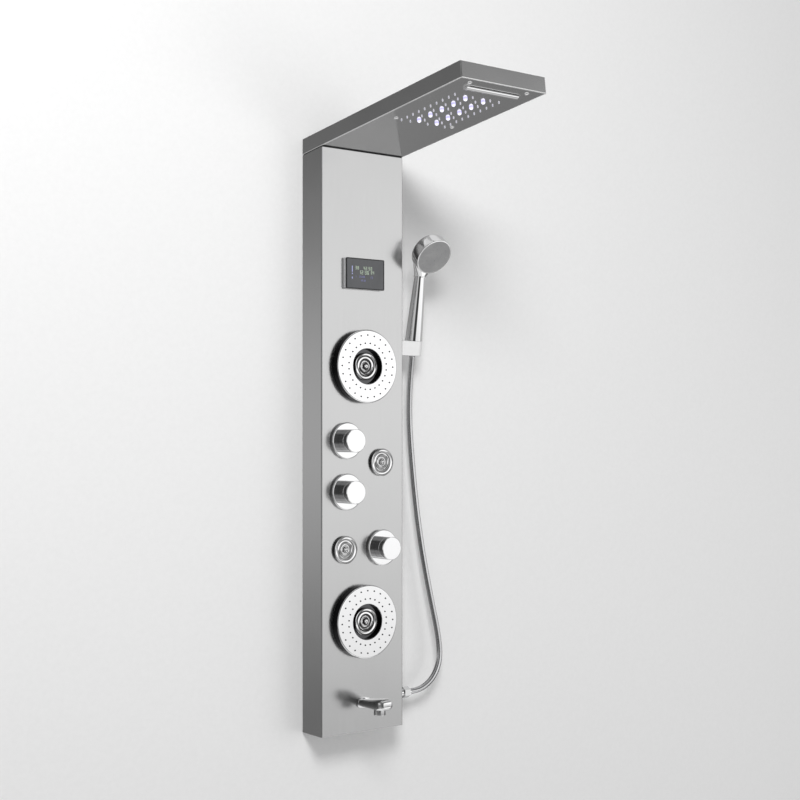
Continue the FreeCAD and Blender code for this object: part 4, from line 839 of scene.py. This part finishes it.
def mirrored_studio(made):
    """The brightness of the studio that polished metal mirrors, by direction."""
    where = made.add("ShaderNodeTexCoord")
    parts = made.add("ShaderNodeSeparateXYZ")
    made.join(where.outputs["Generated"], parts.inputs["Vector"])
    across, along, up = (parts.outputs[axis] for axis in ("X", "Y", "Z"))
    level_part = made.maths("POWER", made.plus(made.times(across, across), made.times(along, along)), 0.5)
    level_part = made.most(level_part, 0.001)

    def sector(degrees, inside, outside, level):
        way = math.radians(degrees) - math.pi / 2 - CAMERA_TURN
        dot = made.plus(made.times(across, math.cos(way)), made.times(along, math.sin(way)))
        near = made.maths("DIVIDE", dot, level_part)
        return made.soft(near, 0, level, math.cos(math.radians(outside)), math.cos(math.radians(inside)))

    def band(foot, top):
        return made.times(made.soft(up, *foot), made.soft(up, *top))

    window = made.times(sector(*WINDOW), band(WINDOW_FOOT, WINDOW_TOP))
    left = made.plus(sector(*LEFT_WALL), made.times(sector(*LEFT_PANEL), band(LEVEL_FOOT, LEVEL_TOP)))
    rear_floor = made.times(made.soft(up, *REAR_BELOW), made.soft(along, *REAR_SIDE))
    floor = made.plus(made.soft(up, *BELOW), made.most(rear_floor, made.soft(up, *STRAIGHT_BELOW)))
    ends = made.most(made.plus(floor, made.soft(up, *ABOVE)),
                     made.times(sector(*LOW_PANEL), band(LOW_FOOT, LOW_TOP)))
    panels = made.times(made.plus(sector(*NEAR_PANEL), sector(*FAR_PANEL)), made.soft(up, *FAR_FOOT))
    return made.plus(made.plus(made.plus(window, left), made.plus(ends, EVERYWHERE)), panels)


def make_world():
    """A pale backdrop to the camera, an even light on matt surfaces and the studio in polished ones."""
    world = bpy.data.worlds.new("studio")
    bpy.context.scene.world = world
    world.use_nodes = True
    made = Tree(world.node_tree)
    path = made.add("ShaderNodeLightPath")
    mirrored = made.most(path.outputs["Is Glossy Ray"], path.outputs["Is Transmission Ray"])
    seen = path.outputs["Is Camera Ray"]
    other = made.maths("SUBTRACT", 1.0, made.most(seen, mirrored))
    level = made.plus(made.times(seen, BACKGROUND_LEVEL), made.times(mirrored, mirrored_studio(made)))
    level = made.plus(level, made.times(other, SURROUNDING_LEVEL))
    back = made.tree.nodes["Background"]
    made.join(level, back.inputs["Strength"])
    back.inputs["Color"].default_value = (1, 1, 1, 1)


def backdrop(name, corners):
    """A pale painted sheet that only the camera in front of it sees; it takes the soft shadow."""
    mesh = bpy.data.meshes.new(name)
    mesh.from_pydata(corners, [], [(0, 1, 2, 3)])
    sheet = bpy.data.objects.new(name, mesh)
    bpy.context.scene.collection.objects.link(sheet)
    made = Nodes(name + "_paint")
    fine = made.noise(made.place(), 120.0, 4.0)
    made.join(made.blend(fine, grey(0.86), grey(0.88)), made.shader.inputs["Base Color"])
    made.set(Roughness=0.9)
    clear = made.add("ShaderNodeBsdfTransparent")
    side = made.add("ShaderNodeNewGeometry")
    mix = made.add("ShaderNodeMixShader")
    made.join(side.outputs["Backfacing"], mix.inputs["Fac"])
    made.join(made.shader.outputs["BSDF"], mix.inputs[1])
    made.join(clear.outputs["BSDF"], mix.inputs[2])
    made.join(mix.outputs["Shader"], made.tree.nodes["Material Output"].inputs["Surface"])
    mesh.materials.append(made.material)
    sheet.visible_glossy = False
    sheet.visible_diffuse = False
    sheet.visible_transmission = False
    sheet.visible_shadow = False


def make_room():
    r = ROOM_REACH
    backdrop("wall", [(-r, WALL_PLACE, FLOOR_PLACE), (r, WALL_PLACE, FLOOR_PLACE), (r, WALL_PLACE, r),
                      (-r, WALL_PLACE, r)])
    backdrop("floor", [(-r, -r, FLOOR_PLACE), (r, -r, FLOOR_PLACE), (r, r, FLOOR_PLACE),
                       (-r, r, FLOOR_PLACE)])


# ---------------------------------------------------------------- the scene

make_camera()
finish = slot_materials()
make_hose(finish)
dress_nodes(finish)
make_handset(finish)
make_spout(finish)
make_display()
make_studio()
make_world()
make_room()
